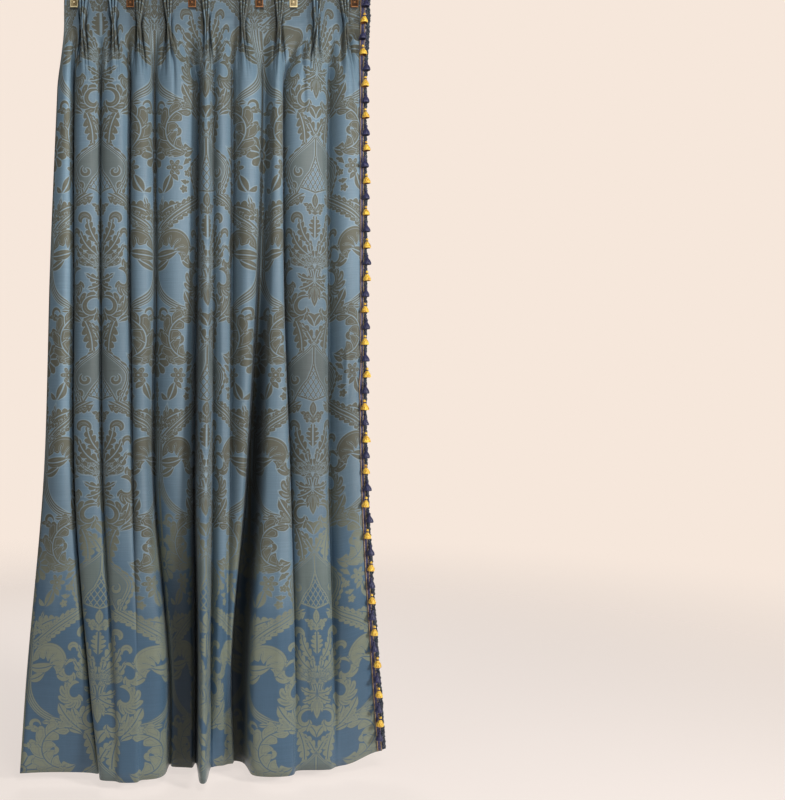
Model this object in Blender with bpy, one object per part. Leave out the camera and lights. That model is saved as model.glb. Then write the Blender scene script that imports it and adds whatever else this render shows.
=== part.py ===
"""A pinch-pleated damask drape with a tassel fringe, held at its top edge by small brass clips.

Frame: X runs across the drape towards its fringed leading edge, the face looks along -Y and Z is up.
The origin is on the top edge, in the plane of the heading's flat spaces. Sizes are in metres, and the
fold tables are in centimetres.
"""

import math

import bmesh
import bpy
import numpy as np
from mathutils import Matrix, Vector

CM = 0.01
DROP = 2.25  # top edge to hem, for cloth that hangs straight down
CLOTH_THICK = 0.0015
GAP = 0.0003  # between pieces that touch on the real drape

# Drops below the top edge, in metres, at which the fold tables give a section
SECTION_DROPS = (0.18, 0.80, 1.40, 2.00, 2.25)

# Side edges of the cloth: across and depth in cm at each section. Depth grows towards the back.
SIDE_EDGES = {
    "outer_edge": ((-43.9, 0.0), (-46.5, 0.5), (-48.3, 0.5), (-53.5, 0.5), (-55.1, 0.0)),
    "leading_edge": ((44.1, -0.8), (44.3, -0.6), (44.5, -0.6), (48.4, 1.5), (51.3, 8.0)),
}

# Crests of the folds, from the outer edge to the leading edge, as (pleat above it, sections).
# The pleat is the place of its tack in cm across, or None where the fold starts from a flat space.
CRESTS = (
    (None, ((-41.4, -2.5), (-42.9, -2.9), (-44.1, -3.4), (-45.8, -1.1), (-47.0, 1.3))),
    (-36.8, ((-35.4, -4.0), (-35.1, -3.9), (-35.1, -4.1), (-30.7, -3.7), (-29.0, -5.2))),
    (-27.8, ((-27.0, -4.0), (-26.7, -4.2), (-26.4, -4.9), (-24.1, -5.5), (-23.5, -6.6))),
    (-20.6, ((-19.7, -3.8), (-19.4, -4.2), (-19.1, -5.1), (-16.2, -4.8), (-16.5, -4.4))),
    (-11.9, ((-10.4, -3.8), (-9.9, -3.9), (-10.4, -2.7), (-8.1, 2.5), (-8.1, 4.3))),
    (-1.2, ((-1.0, -4.0), (-1.0, -5.2), (-1.7, -6.8), (-1.9, -6.7), (-1.9, -7.2))),
    (None, ((3.5, -3.2), (3.5, -2.9), (3.2, -2.0), (2.3, 0.5), (2.9, 5.2))),
    (9.6, ((10.7, -4.0), (10.7, -4.2), (9.3, -2.4), (6.1, 3.2), (7.0, 7.2))),
    (20.0, ((19.1, -3.8), (18.8, -4.4), (18.0, -5.1), (15.1, -3.8), (15.7, -2.8))),
    (30.7, ((27.5, -4.0), (28.1, -4.2), (29.3, -3.8), (30.7, -1.7), (30.4, 2.3))),
    (39.2, ((40.3, -3.8), (40.6, -3.6), (41.2, -3.0), (42.3, -0.6), (42.9, 6.6))),
)

# Valleys between those crests, as (half mouth in cm, lean of the bottom in cm, how far the lip before it
# and the lip after it sink towards the bottom, sections).
VALLEYS = (
    (0.9, 0.0, 0.25, 0.25, ((-39.3, 5.6), (-39.0, 3.4), (-39.0, 3.0), (-34.5, -0.4), (-31.9, -2.4))),
    (0.9, 0.0, 0.25, 0.25, ((-30.9, 0.6), (-30.7, 0.2), (-30.9, 0.2), (-27.2, -3.9), (-26.1, -6.0))),
    (0.9, 0.0, 0.25, 0.25, ((-22.9, 4.2), (-22.2, 3.4), (-21.7, -1.0), (-20.6, -5.4), (-20.3, -5.9))),
    (0.9, 0.0, 0.20, 0.35, ((-16.2, 3.4), (-15.8, 3.0), (-16.4, 4.2), (-12.0, 2.2), (-12.0, 5.0))),
    (0.9, 0.0, 0.30, 0.06, ((-3.2, 4.6), (-3.8, 4.4), (-4.6, 4.6), (-3.9, 3.2), (-3.9, 3.0))),
    (0.9, 0.0, 0.06, 0.30, ((0.9, 2.0), (0.7, 2.6), (0.4, 4.4), (0.1, 4.6), (0.1, 4.6))),
    (0.9, 0.0, 0.30, 0.30, ((6.7, 1.4), (6.7, 3.0), (6.1, 1.2), (4.6, 3.2), (5.2, 6.6))),
    (1.2, 0.0, 0.30, 0.18, ((16.2, 3.2), (14.8, 3.0), (11.6, 4.6), (7.2, 6.6), (8.1, 8.2))),
    (0.6, -0.9, 0.20, 0.20, ((21.6, 3.6), (22.0, 5.4), (24.3, 1.6), (24.9, 0.4), (24.9, 1.0))),
    (0.9, 0.0, 0.30, 0.30, ((36.2, 3.6), (36.8, 3.4), (36.5, 3.2), (36.5, 0.9), (36.5, 3.6))),
)

# Heading: three fingers stand forward at each pleat and are tacked together at its foot
HEADING_ENDS = (-0.423, 0.450)  # the side edges at the top
TACK_DROP = 0.083
OPEN_DROP = 0.27  # by here the fingers have opened into the fold below
FINGERS = 3
FINGER_PITCH = ((0.0, 0.0095), (0.045, 0.0076), (TACK_DROP, 0.0052))  # (drop, pitch)
FINGER_DEPTH = ((0.0, 0.015), (0.045, 0.018), (TACK_DROP, 0.020))
FINGER_SHARE = 0.3  # of the way from a crest to the next lip that one finger takes below

# The leading edge's foot hangs a little higher than the rest of the hem
LEAD_RISE = 0.036
LEAD_RISE_WIDTH = 0.12

# Rows of the cloth's grid, as drops below the top edge
ROW_DROPS = (0.0, 0.045, TACK_DROP, 0.105, 0.135, 0.18, 0.25, 0.36, 0.50, 0.65, 0.80, 0.95,
             1.10, 1.25, 1.40, 1.55, 1.70, 1.83, 1.93, 2.00, 2.07, 2.14, 2.20, DROP)

# Braid along the leading edge, in front of the cloth, with a scalloped outer side
BRAID_THICK = 0.0022
BRAID_GAP = 0.0010
BRAID_ON_CLOTH = 0.015
BRAID_PAST_EDGE = 0.006
SCALLOP = 0.005
BRAID_ROWS_PER_TASSEL = 4

# Tassels: centres of the first, their spacing and their parts
TASSELS = 47
TASSEL_PITCH = 0.0472
FIRST_TASSEL_ROOT = 0.002
TASSEL_STAND = 0.0135  # centre line in front of the braid
HANGER_DROP = 0.002
HANGER_HALF = 0.0010
HEAD_PROFILE = ((0.0, 0.0016), (-0.0040, 0.0050), (-0.0100, 0.0036))
LOCKS = 4
LOCK_ANGLE = math.radians(80)
LOCK_TOP, LOCK_FOOT = -0.0088, -0.0305
LOCK_TOP_RADII = (0.0005, 0.0023)  # at the axis side and outside
LOCK_FOOT_RADII = (0.0012, 0.0115)

# Clips: a folded strip of brass over the top edge, places in m across
CLIP_PLACES = (-0.394, -0.231, -0.052, 0.143, 0.242, 0.419)
CLIP_WIDTH = 0.021
CLIP_BELOW_EDGE = 0.026
CLIP_METAL = 0.0012
CLIP_LIP = 0.0022  # how far the jaws' feet flare
CLIP_LIP_HEIGHT = 0.004


def clear_scene():
    for old in list(bpy.data.objects):
        bpy.data.objects.remove(old, do_unlink=True)


def material(name, colour, roughness, metallic=0.0):
    mat = bpy.data.materials.new(name)
    mat.use_nodes = True
    shader = mat.node_tree.nodes["Principled BSDF"]
    shader.inputs["Base Color"].default_value = (*colour, 1.0)
    shader.inputs["Roughness"].default_value = roughness
    shader.inputs["Metallic"].default_value = metallic
    return mat


def add_object(name, mesh, mat):
    obj = bpy.data.objects.new(name, mesh)
    obj.data.materials.append(mat)
    bpy.context.collection.objects.link(obj)
    return obj


def between(table, drop):
    """Value at a drop, straight between a table's rows of (drop, value)."""
    drops, values = zip(*table)
    return float(np.interp(drop, drops, values))


def smooth_step(value):
    value = min(max(value, 0.0), 1.0)
    return value * value * (3 - 2 * value)


def section_controls(row):
    """Control points of the cross-section at one row of the fold tables, in metres."""
    outer, leading = SIDE_EDGES["outer_edge"][row], SIDE_EDGES["leading_edge"][row]
    crests = [sections[row] for _, sections in CRESTS]
    controls = [outer]
    for index, crest in enumerate(crests):
        controls.append(crest)
        if index < len(VALLEYS):
            half_mouth, lean, sink_before, sink_after, sections = VALLEYS[index]
            across, depth = sections[row]
            before = crest[1] + (depth - crest[1]) * sink_before
            after = crests[index + 1][1] + (depth - crests[index + 1][1]) * sink_after
            controls += [(across - half_mouth, before), (across + lean, depth), (across + half_mouth, after)]
    controls.append(leading)
    return np.array(controls) * CM


SECTIONS = np.array([section_controls(row) for row in range(len(SECTION_DROPS))])
LAST_CONTROL = SECTIONS.shape[1] - 1
CREST_CONTROLS = [1 + 4 * index for index in range(len(CRESTS))]
VALLEY_CONTROLS = [3 + 4 * index for index in range(len(VALLEYS))]


def controls_at(drop):
    """The section's control points at any drop, on a smooth curve down through the tables' sections."""
    drops = np.array(SECTION_DROPS)
    drop = min(max(drop, drops[0]), drops[-1])
    row = min(int(np.searchsorted(drops, drop, side="right")) - 1, len(drops) - 2)
    slopes = np.gradient(SECTIONS, drops, axis=0)
    span = drops[row + 1] - drops[row]
    t = (drop - drops[row]) / span
    return (
        SECTIONS[row] * (1 + 2 * t) * (1 - t) ** 2
        + slopes[row] * span * t * (1 - t) ** 2
        + SECTIONS[row + 1] * t * t * (3 - 2 * t)
        + slopes[row + 1] * span * t * t * (t - 1)
    )


def on_section(controls, at):
    """A point of the uniform cubic B-spline over the controls, at counted along them."""
    padded = np.vstack([2 * controls[0] - controls[1], controls, 2 * controls[-1] - controls[-2]])
    first = min(int(at), LAST_CONTROL - 1)
    t = at - first
    weights = np.array([(1 - t) ** 3, 3 * t**3 - 6 * t**2 + 4, -3 * t**3 + 3 * t**2 + 3 * t + 1, t**3]) / 6
    return weights @ padded[first : first + 4]


def pleats():
    return [(CREST_CONTROLS[i], tack * CM) for i, (tack, _) in enumerate(CRESTS) if tack is not None]


def on_heading(at, drop):
    """A point of the heading: flat spaces with three fingers at each pleat."""
    half = FINGERS / 2
    pitch, depth = between(FINGER_PITCH, drop), between(FINGER_DEPTH, drop)
    marks = [(0.0, HEADING_ENDS[0])]
    for control, tack in pleats():
        fingers_along = (at - control) / FINGER_SHARE
        if abs(fingers_along) <= half:
            forward = depth * (0.5 + 0.5 * math.cos(2 * math.pi * fingers_along))
            return np.array([tack + fingers_along * pitch, -forward])
        marks.append((control - half * FINGER_SHARE, tack - half * pitch))
        marks.append((control + half * FINGER_SHARE, tack + half * pitch))
    marks.append((float(LAST_CONTROL), HEADING_ENDS[1]))
    return np.array([between(marks, at), 0.0])


def cloth_point(at, drop):
    """The middle of the cloth, at counted along the section's controls."""
    fold = on_section(controls_at(drop), at)
    share = 1 - smooth_step((drop - TACK_DROP) / (OPEN_DROP - TACK_DROP))
    across, depth = fold + (on_heading(at, min(drop, TACK_DROP)) - fold) * share
    leading = on_section(controls_at(drop), LAST_CONTROL)[0]
    rise = LEAD_RISE * (1 - smooth_step((leading - across) / LEAD_RISE_WIDTH))
    return Vector((across, depth, -drop * (DROP - rise) / DROP))


def cloth_columns():
    """Places across the cloth: three for a valley, one for each finger's crest and foot."""
    columns = {0.0, float(LAST_CONTROL)}
    for valley in VALLEY_CONTROLS:
        columns |= {valley - 1.0, float(valley), valley + 1.0}
    for control, (tack, _) in zip(CREST_CONTROLS, CRESTS):
        steps = FINGERS if tack is not None else 0
        columns |= {round(control + step / 2 * FINGER_SHARE, 6) for step in range(-steps, steps + 1)}
    return sorted(columns)


def sheet_mesh(name, rows):
    """A sheet through rows of points, one face between neighbours."""
    sheet = bmesh.new()
    grid = [[sheet.verts.new(point) for point in row] for row in rows]
    for upper, lower in zip(grid, grid[1:]):
        for i in range(len(upper) - 1):
            sheet.faces.new((upper[i], lower[i], lower[i + 1], upper[i + 1]))
    mesh = bpy.data.meshes.new(name)
    sheet.to_mesh(mesh)
    sheet.free()
    return mesh


def thicken(obj, thickness):
    solid = obj.modifiers.new("Thickness", "SOLIDIFY")
    solid.thickness = thickness
    solid.offset = 0.0


def cloth_rows():
    columns = cloth_columns()
    return [[cloth_point(at, drop) for at in columns] for drop in ROW_DROPS]


def make_cloth(rows, mat):
    cloth = add_object("drape_cloth", sheet_mesh("drape_cloth", rows), mat)
    cloth.data.shade_smooth()
    thicken(cloth, CLOTH_THICK)


def leading_frame(rows, drop):
    """(edge point, direction out past the edge, direction to the front) on the cloth's last strip."""
    row = min(int(np.searchsorted(ROW_DROPS, drop, side="right")) - 1, len(ROW_DROPS) - 2)
    t = (drop - ROW_DROPS[row]) / (ROW_DROPS[row + 1] - ROW_DROPS[row])
    edge = rows[row][-1].lerp(rows[row + 1][-1], t)
    inner = rows[row][-2].lerp(rows[row + 1][-2], t)
    out = (edge - inner).normalized()
    down = rows[row + 1][-1] - rows[row][-1]
    return edge, out, down.cross(out).normalized()


def braid_rows(rows, tassel_roots):
    """Rows of the braid's middle surface, its outer side in scallops between the tassels."""
    stand = CLOTH_THICK / 2 + BRAID_GAP + BRAID_THICK / 2
    step = TASSEL_PITCH / BRAID_ROWS_PER_TASSEL
    braid = []
    for index in range(int(DROP / step) + 1):
        drop = index * step
        edge, out, front = leading_frame(rows, drop)
        swell = abs(math.sin(math.pi * (drop - tassel_roots[0]) / TASSEL_PITCH * 2))
        middle = edge + front * stand
        braid.append(
            [
                middle - out * BRAID_ON_CLOTH,
                middle + out * (BRAID_PAST_EDGE + SCALLOP * swell),
            ]
        )
    return braid


def prism(outline_top, outline_foot):
    """A closed prism between two outlines of as many points."""
    shape = bmesh.new()
    top = [shape.verts.new(p) for p in outline_top]
    foot = [shape.verts.new(p) for p in outline_foot]
    shape.faces.new(top[::-1])
    shape.faces.new(foot)
    for i in range(len(top)):
        j = (i + 1) % len(top)
        shape.faces.new((top[i], top[j], foot[j], foot[i]))
    bmesh.ops.recalc_face_normals(shape, faces=shape.faces)
    return shape


def mesh_of(name, shape):
    mesh = bpy.data.meshes.new(name)
    shape.to_mesh(mesh)
    shape.free()
    return mesh


def square(centre, half, turn=0.0):
    return [
        centre + Vector((half * math.cos(a), half * math.sin(a), 0))
        for a in (turn + math.pi / 2 * i for i in range(4))
    ]


def tassel_head():
    """Head and neck: four-sided rings on a turned profile, below the hanger's foot."""
    shape = bmesh.new()
    rings = [[shape.verts.new(p) for p in square(Vector((0, 0, z)), r)] for z, r in HEAD_PROFILE]
    shape.faces.new(rings[0][::-1])
    shape.faces.new(rings[-1])
    for upper, lower in zip(rings, rings[1:]):
        for i in range(4):
            j = (i + 1) % 4
            shape.faces.new((upper[i], upper[j], lower[j], lower[i]))
    bmesh.ops.recalc_face_normals(shape, faces=shape.faces)
    return mesh_of("tassel_head", shape)


def wedge(middle_angle, radii, z):
    """Three corners of a lock's section, one of them towards the tassel's axis."""
    inner, outer = radii
    left, right = middle_angle - LOCK_ANGLE / 2, middle_angle + LOCK_ANGLE / 2
    corners = ((inner, middle_angle), (outer, left), (outer, right))
    return [Vector((r * math.cos(a), r * math.sin(a), z)) for r, a in corners]


def make_tassel():
    """One tassel, as a mesh: hanger, head and four locks, joined. Its root is at the origin."""
    foot = Vector((0, -TASSEL_STAND, -HANGER_DROP))
    pieces = [bpy.data.objects.new("tassel_head", tassel_head())]
    pieces[0].data.transform(Matrix.Translation(foot))
    side = Vector((HANGER_HALF, 0, 0))
    up = Vector((0, 0, HANGER_HALF))
    root, end = Vector((0, BRAID_THICK * 0.1, 0)), foot - Vector((0, 0, 0.001))
    sections = [[c - side - up, c + side - up, c + side + up, c - side + up] for c in (root, end)]
    pieces.append(bpy.data.objects.new("hanger", mesh_of("hanger", prism(*sections))))
    for index in range(LOCKS):
        angle = 2 * math.pi * index / LOCKS
        lock = prism(wedge(angle, LOCK_TOP_RADII, LOCK_TOP), wedge(angle, LOCK_FOOT_RADII, LOCK_FOOT))
        mesh = mesh_of("lock", lock)
        mesh.transform(Matrix.Translation(foot))
        pieces.append(bpy.data.objects.new("lock", mesh))
    whole = pieces[0]
    for piece in pieces:
        bpy.context.collection.objects.link(piece)
    for piece in pieces[1:]:
        join(whole, piece)
    bpy.context.view_layer.update()
    graph = bpy.context.evaluated_depsgraph_get()
    tassel = bpy.data.meshes.new_from_object(whole.evaluated_get(graph))
    for piece in pieces:
        bpy.data.objects.remove(piece, do_unlink=True)
    return tassel


def join(obj, other):
    union = obj.modifiers.new("Join", "BOOLEAN")
    union.operation = "UNION"
    union.solver = "EXACT"
    union.object = other
    other.hide_render = True
    other.display_type = "WIRE"


def tassel_places(rows):
    """(root on the braid's middle surface, turn about Z) of each tassel."""
    stand = CLOTH_THICK / 2 + BRAID_GAP + BRAID_THICK / 2
    for index in range(TASSELS):
        drop = FIRST_TASSEL_ROOT + index * TASSEL_PITCH
        edge, out, front = leading_frame(rows, drop)
        yield edge + front * stand, math.atan2(out.y, out.x)


def make_fringe(rows, mat):
    roots = [FIRST_TASSEL_ROOT]
    braid = add_object("tassel_fringe", sheet_mesh("tassel_fringe", braid_rows(rows, roots)), mat)
    thicken(braid, BRAID_THICK)
    tassel = make_tassel()
    all_tassels = bmesh.new()
    for root, turn in tassel_places(rows):
        copy = tassel.copy()
        copy.transform(Matrix.Translation(root) @ Matrix.Rotation(turn, 4, "Z"))
        all_tassels.from_mesh(copy)
        bpy.data.meshes.remove(copy)
    tassels = add_object("tassels_guide", mesh_of("tassels_guide", all_tassels), mat)
    join(braid, tassels)


def clip_profile():
    """Outline of the folded metal in the plane across the top edge, as (depth, height)."""
    inner = CLOTH_THICK / 2 + GAP
    outer = inner + CLIP_METAL
    foot, lip = -CLIP_BELOW_EDGE, -CLIP_BELOW_EDGE + CLIP_LIP_HEIGHT
    front = [(-inner, GAP), (-inner, lip), (-inner - CLIP_LIP, foot), (-outer - CLIP_LIP, foot), (-outer, lip)]
    crown = GAP + CLIP_METAL
    bend = [(-outer, crown - 0.0006), (-outer + 0.0006, crown), (outer - 0.0006, crown), (outer, crown - 0.0006)]
    back = [(-y, z) for y, z in front[::-1]]
    return front + bend + back


def make_clips(mat):
    for index, place in enumerate(CLIP_PLACES, start=1):
        left, right = place - CLIP_WIDTH / 2, place + CLIP_WIDTH / 2
        outline = clip_profile()
        shape = prism(*[[Vector((x, y, z)) for y, z in outline] for x in (left, right)])
        add_object(f"clip_{index}", mesh_of(f"clip_{index}", shape), mat)


clear_scene()
cloth = cloth_rows()
make_cloth(cloth, material("damask", (0.16, 0.22, 0.28), 0.5))
make_fringe(cloth, material("fringe_yarn", (0.30, 0.22, 0.06), 0.7))
make_clips(material("clip_brass", (0.60, 0.45, 0.22), 0.35, 1.0))
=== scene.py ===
"""The looks of the pinch-pleated damask drape: cloth, tassel fringe, clips, light and camera.

Metres, in the frame of the CAD: X across the drape towards its fringed edge, the face towards -Y, Z up,
the origin on the top edge. The fold tables are in centimetres, as they are in the part's source.
"""

import math

import bmesh
import bpy
import numpy as np
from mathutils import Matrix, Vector


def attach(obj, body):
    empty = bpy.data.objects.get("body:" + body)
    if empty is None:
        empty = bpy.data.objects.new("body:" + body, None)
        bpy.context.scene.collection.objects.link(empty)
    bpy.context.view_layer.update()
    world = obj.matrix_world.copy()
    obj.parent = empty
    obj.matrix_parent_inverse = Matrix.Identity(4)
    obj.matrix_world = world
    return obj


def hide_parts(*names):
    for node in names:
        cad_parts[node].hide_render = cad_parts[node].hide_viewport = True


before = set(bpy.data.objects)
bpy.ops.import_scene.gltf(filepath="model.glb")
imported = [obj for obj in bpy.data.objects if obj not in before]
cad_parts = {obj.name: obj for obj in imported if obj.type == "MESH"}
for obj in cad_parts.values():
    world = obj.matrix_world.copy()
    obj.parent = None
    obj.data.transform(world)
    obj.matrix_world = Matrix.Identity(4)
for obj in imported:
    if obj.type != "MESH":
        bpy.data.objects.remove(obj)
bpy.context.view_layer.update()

CM = 0.01
MM = 0.001
DROP = 2.25
FLAT_WIDTH = 1.36
CLOTH_THICK = 0.0013
SECTION_DROPS = np.array([0.18, 0.80, 1.40, 2.00, 2.25])

# Side edges: across and depth in cm at each section. Depth grows towards the back.
SIDE_EDGES = {
    "outer_edge": ((-43.9, 0.0), (-46.5, 0.5), (-48.3, 0.5), (-53.5, 0.5), (-55.1, 0.0)),
    "leading_edge": ((44.1, -0.8), (44.3, -0.6), (44.5, -0.6), (48.4, 1.5), (51.3, 8.0)),
}

# Crests, from the outer edge to the leading edge, as (pleat above it, sections). A pleat is its
# (middle at the top, middle at its tack) in cm across.
CRESTS = (
    (None, ((-41.4, -2.5), (-42.9, -2.9), (-44.1, -3.4), (-45.8, -1.1), (-47.0, 1.3))),
    ((-36.6, -36.8), ((-35.4, -4.0), (-35.1, -3.9), (-35.1, -4.1), (-30.7, -3.7), (-29.0, -5.2))),
    ((-28.1, -27.8), ((-27.0, -4.0), (-26.7, -4.2), (-26.4, -4.9), (-24.1, -5.5), (-23.5, -6.6))),
    ((-20.1, -20.6), ((-19.7, -3.8), (-19.4, -4.2), (-19.1, -5.1), (-16.2, -4.8), (-16.5, -4.4))),
    ((-12.3, -11.9), ((-10.4, -3.8), (-9.9, -3.9), (-10.4, -2.7), (-8.1, 2.5), (-8.1, 4.3))),
    ((-1.2, -1.0), ((-1.0, -4.0), (-1.0, -5.2), (-1.7, -6.8), (-1.9, -6.7), (-1.9, -7.2))),
    (None, ((3.5, -3.2), (3.5, -2.9), (3.2, -2.0), (2.3, 0.5), (2.9, 5.2))),
    ((9.9, 9.5), ((10.7, -4.0), (10.7, -4.2), (9.3, -2.4), (6.1, 3.2), (7.0, 7.2))),
    ((20.1, 20.0), ((19.1, -3.8), (18.8, -4.4), (18.0, -5.1), (15.1, -3.8), (15.7, -2.8))),
    ((31.0, 30.7), ((27.5, -4.0), (28.1, -4.2), (29.3, -3.8), (30.7, -1.7), (30.4, 2.3))),
    ((38.8, 39.3), ((40.3, -3.8), (40.6, -3.6), (41.2, -3.0), (42.3, -0.6), (42.9, 6.6))),
)

# Valleys between the crests: (half mouth in cm, lean of the bottom in cm, how far the lip before it and
# the lip after it sink as shares of its depth, sections, place of its bottom on the flat cloth in cm at
# each section)
VALLEYS = (
    (0.42, 0.0, 0.12, 0.12, ((-39.6, 4.6), (-39.6, 3.4), (-39.4, 3.0), (-34.9, -0.4), (-31.9, -2.4)),
     (9.0, 10.9, 12.2, 19.7, 21.7)),
    (0.6, 0.0, 0.20, 0.20, ((-31.6, 0.6), (-31.6, 0.2), (-30.9, 0.2), (-27.2, -3.9), (-26.1, -6.0)),
     (23.0, 23.0, 23.3, 28.0, 28.7)),
    (0.42, 0.0, 0.12, 0.12, ((-23.0, 4.0), (-23.2, 3.0), (-22.0, -1.4), (-20.6, -5.4), (-20.3, -5.9)),
     (35.0, 36.6, 34.2, 35.1, 35.2)),
    (0.9, 0.0, 0.20, 0.35, ((-16.2, 3.4), (-15.8, 3.0), (-16.4, 4.2), (-12.0, 2.2), (-12.0, 5.0)),
     (46.6, 46.4, 43.0, 44.8, 45.6)),
    (0.9, 0.0, 0.30, 0.06, ((-3.2, 4.6), (-3.8, 4.4), (-4.6, 4.6), (-3.9, 3.2), (-3.9, 3.0)),
     (64.3, 63.0, 61.8, 61.8, 62.0)),
    (0.9, 0.0, 0.06, 0.30, ((0.9, 0.6), (0.9, 0.4), (0.6, 2.0), (0.1, 3.0), (0.1, 3.4)),
     (74.2, 73.6, 75.7, 76.0, 76.2)),
    (0.9, 0.0, 0.30, 0.30, ((6.7, 1.4), (6.7, 3.0), (6.1, 1.2), (4.6, 3.2), (5.2, 6.6)),
     (82.5, 84.5, 85.8, 84.3, 84.6)),
    (1.2, 0.0, 0.30, 0.18, ((16.2, 3.2), (14.8, 3.0), (11.6, 4.6), (7.2, 6.6), (8.1, 8.2)),
     (94.9, 93.9, 93.3, 89.3, 89.3)),
    (0.45, -0.3, 0.14, 0.14, ((21.4, 2.4), (21.6, 2.6), (23.6, 1.4), (24.9, 0.4), (24.9, 1.0)),
     (103.2, 105.0, 108.9, 109.2, 109.2)),
    (1.3, 0.0, 0.30, 0.30, ((34.6, 2.6), (34.8, 2.6), (35.0, 2.8), (36.2, 0.9), (36.5, 3.6)),
     (123.6, 124.0, 124.8, 123.2, 123.0)),
)

# How much deeper the middle of each valley lies than the plain solid's, in cm at each section
DEEPER = (
    (0.0, 0.0, 0.8, 2.2, 1.6),
    (0.6, 0.8, 0.6, 0.2, 0.0),
    (0.3, 0.3, 0.2, 0.0, 0.0),
    (0.8, 1.0, 1.6, 2.6, 2.4),
    (0.6, 1.2, 2.8, 5.2, 5.0),
    (0.2, 0.3, 0.6, 1.0, 1.0),
    (0.6, 0.6, 0.3, 0.0, 0.0),
    (0.6, 1.9, 5.4, 6.0, 4.6),
    (0.2, 0.4, 0.4, 0.0, 0.0),
    (0.6, 0.8, 0.8, 0.8, 0.4),
)

# Half width of each of these deeper middles, in controls of the cross-section
DEEPER_WIDTHS = 0.50, 0.50, 0.50, 0.55, 0.75, 0.55, 0.60, 0.95, 0.50, 0.55

# The lip after the eighth valley overhangs it: shift across in cm at each section, middle and width in
# controls
OVERHANG = ((0.2, 0.8, 1.8, 2.2, 1.6), 31.8, 0.6)

# Folds painted with shade in the cloth's colour, or with painted light where below zero: drops where that
# starts, is full and begins to fade, middle and half width in controls, how much. The first hides behind the
# middle fold, low down.
PAINTED_SHADE_FOLDS = (
    (1.35, 1.85, 3.00, 17.2, 1.7, 0.62),
    (0.04, 0.30, 1.20, 1.2, 1.7, -0.95),
    (0.25, 0.80, 1.30, 36.4, 1.9, 0.30),
    (0.70, 1.00, 1.40, 40.6, 1.0, 0.22),
)
SHADE_FADE = 0.4

# The deepest folds flatten here: depth where that starts, and how far beyond it they reach, in m
DEPTH_LIMIT = 0.05, 0.0435

# Depth of a valley, and of a hollow beside a pleat, at which the painted shade in the cloth's colour is
# darkest
PAINTED_SHADE_FOLD_DEPTH = 0.06
PAINTED_SHADE_HOLLOW_DEPTH = 0.026

# Columns and rows of the cloth's mesh: step in controls, columns in a pleat and places beside it, in
# controls, and where the fine rows end
COLUMN_STEP = 0.2
PLEAT_COLUMNS = 21
BESIDE_PLEAT = (0.5, 0.7, 0.9, 1.1)
FINE_ROWS = 46
FINE_ROWS_END = 0.30
COARSE_ROWS = 65

# Heading: at each pleat three fingers stand side by side, and a tack pulls them together
HEADING_ENDS = (-0.423, 0.450)
TACK_DROP = 0.076
OPEN_DROP = 0.27  # where the heading has opened into the folds
FINGERS = 3
FINGER_PITCH = ((0.0, 0.0100), (0.040, 0.0068), (TACK_DROP, 0.0031))  # (drop, pitch)
FINGER_DEPTH = ((0.0, 0.015), (0.045, 0.019), (TACK_DROP, 0.022))  # (drop, depth)
FINGER_SHARE = 0.3  # of each finger, in controls
FINGER_SWELL = 0.11
FINGER_UNEVEN = 0.12
FINGER_HUMP = 1.6  # of the one fold that they merge into below the tack
FINGER_FADE = 0.06  # how far below the tack the fingers show
FINGER_PAINTED_LIGHT = 0.15  # how far below the tack their crests get a painted highlight
CREST_WIDTH = 0.2  # of that painted highlight, in fingers
OUTER_CREST = 1.05  # of the outer fingers, in fingers from the pleat's middle
# Strength of the painted highlight on the finger crests, and of the painted shade in the grooves between the
# fingers
CREST_PAINTED_LIGHT = 0.8
GROOVE_PAINTED_SHADE = 0.75
FINGER_FAN = 0.0062, 0.012, 0.17  # what the pitch gains below the tack, from where, over what length

# The gap between the outer fingers, with painted shade in it: how far below the tack it begins to open and
# over what length, the same for its closing, half width of it and of its painted shade in fingers, how dark
# that painted shade is and how deep the gap is, and how open it is at each pleat
GAP_OPENS = 0.010, 0.03
GAP_CLOSES = 0.055, 0.08
GAP_WIDTH = 0.34
GAP_PAINTED_SHADE_WIDTH = 0.32
GAP_PAINTED_SHADE = 1.3
GAP_DEPTH = 0.95
PLEAT_SPLITS = 1.0, 0.9, 0.8, 1.0, 0.5, 0.9, 0.7, 1.0, 0.8

# Hollows beside a pleat: start as a share of its half width, spread by their foot, first drop, depth, in m
PLEAT_HOLLOWS = ((1.35, 0.016, 0.03, 0.013), (1.0, 0.007, 0.085, 0.011))
HOLLOW_WIDTH = 0.0019, 0.0018  # half width at the tack, and what it gains by the foot
HOLLOW_START = 0.05
HOLLOW_FADE = 0.13
HOLLOW_END = 0.26

# The foot rises towards the leading edge: how much, and over what width
LEAD_RISE = 0.036
LEAD_RISE_WIDTH = 0.12

# Unevenness of the loose cloth: how much, waves per metre across and down, where they start, their seed
DEPTH_WAVES = ((0.0016, 9, 3.2, 0, 3), (0.0007, 26, 7, 7, 4))
SIDEWAYS_WAVES = 0.0014, 6, 4, 3, 5

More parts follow.
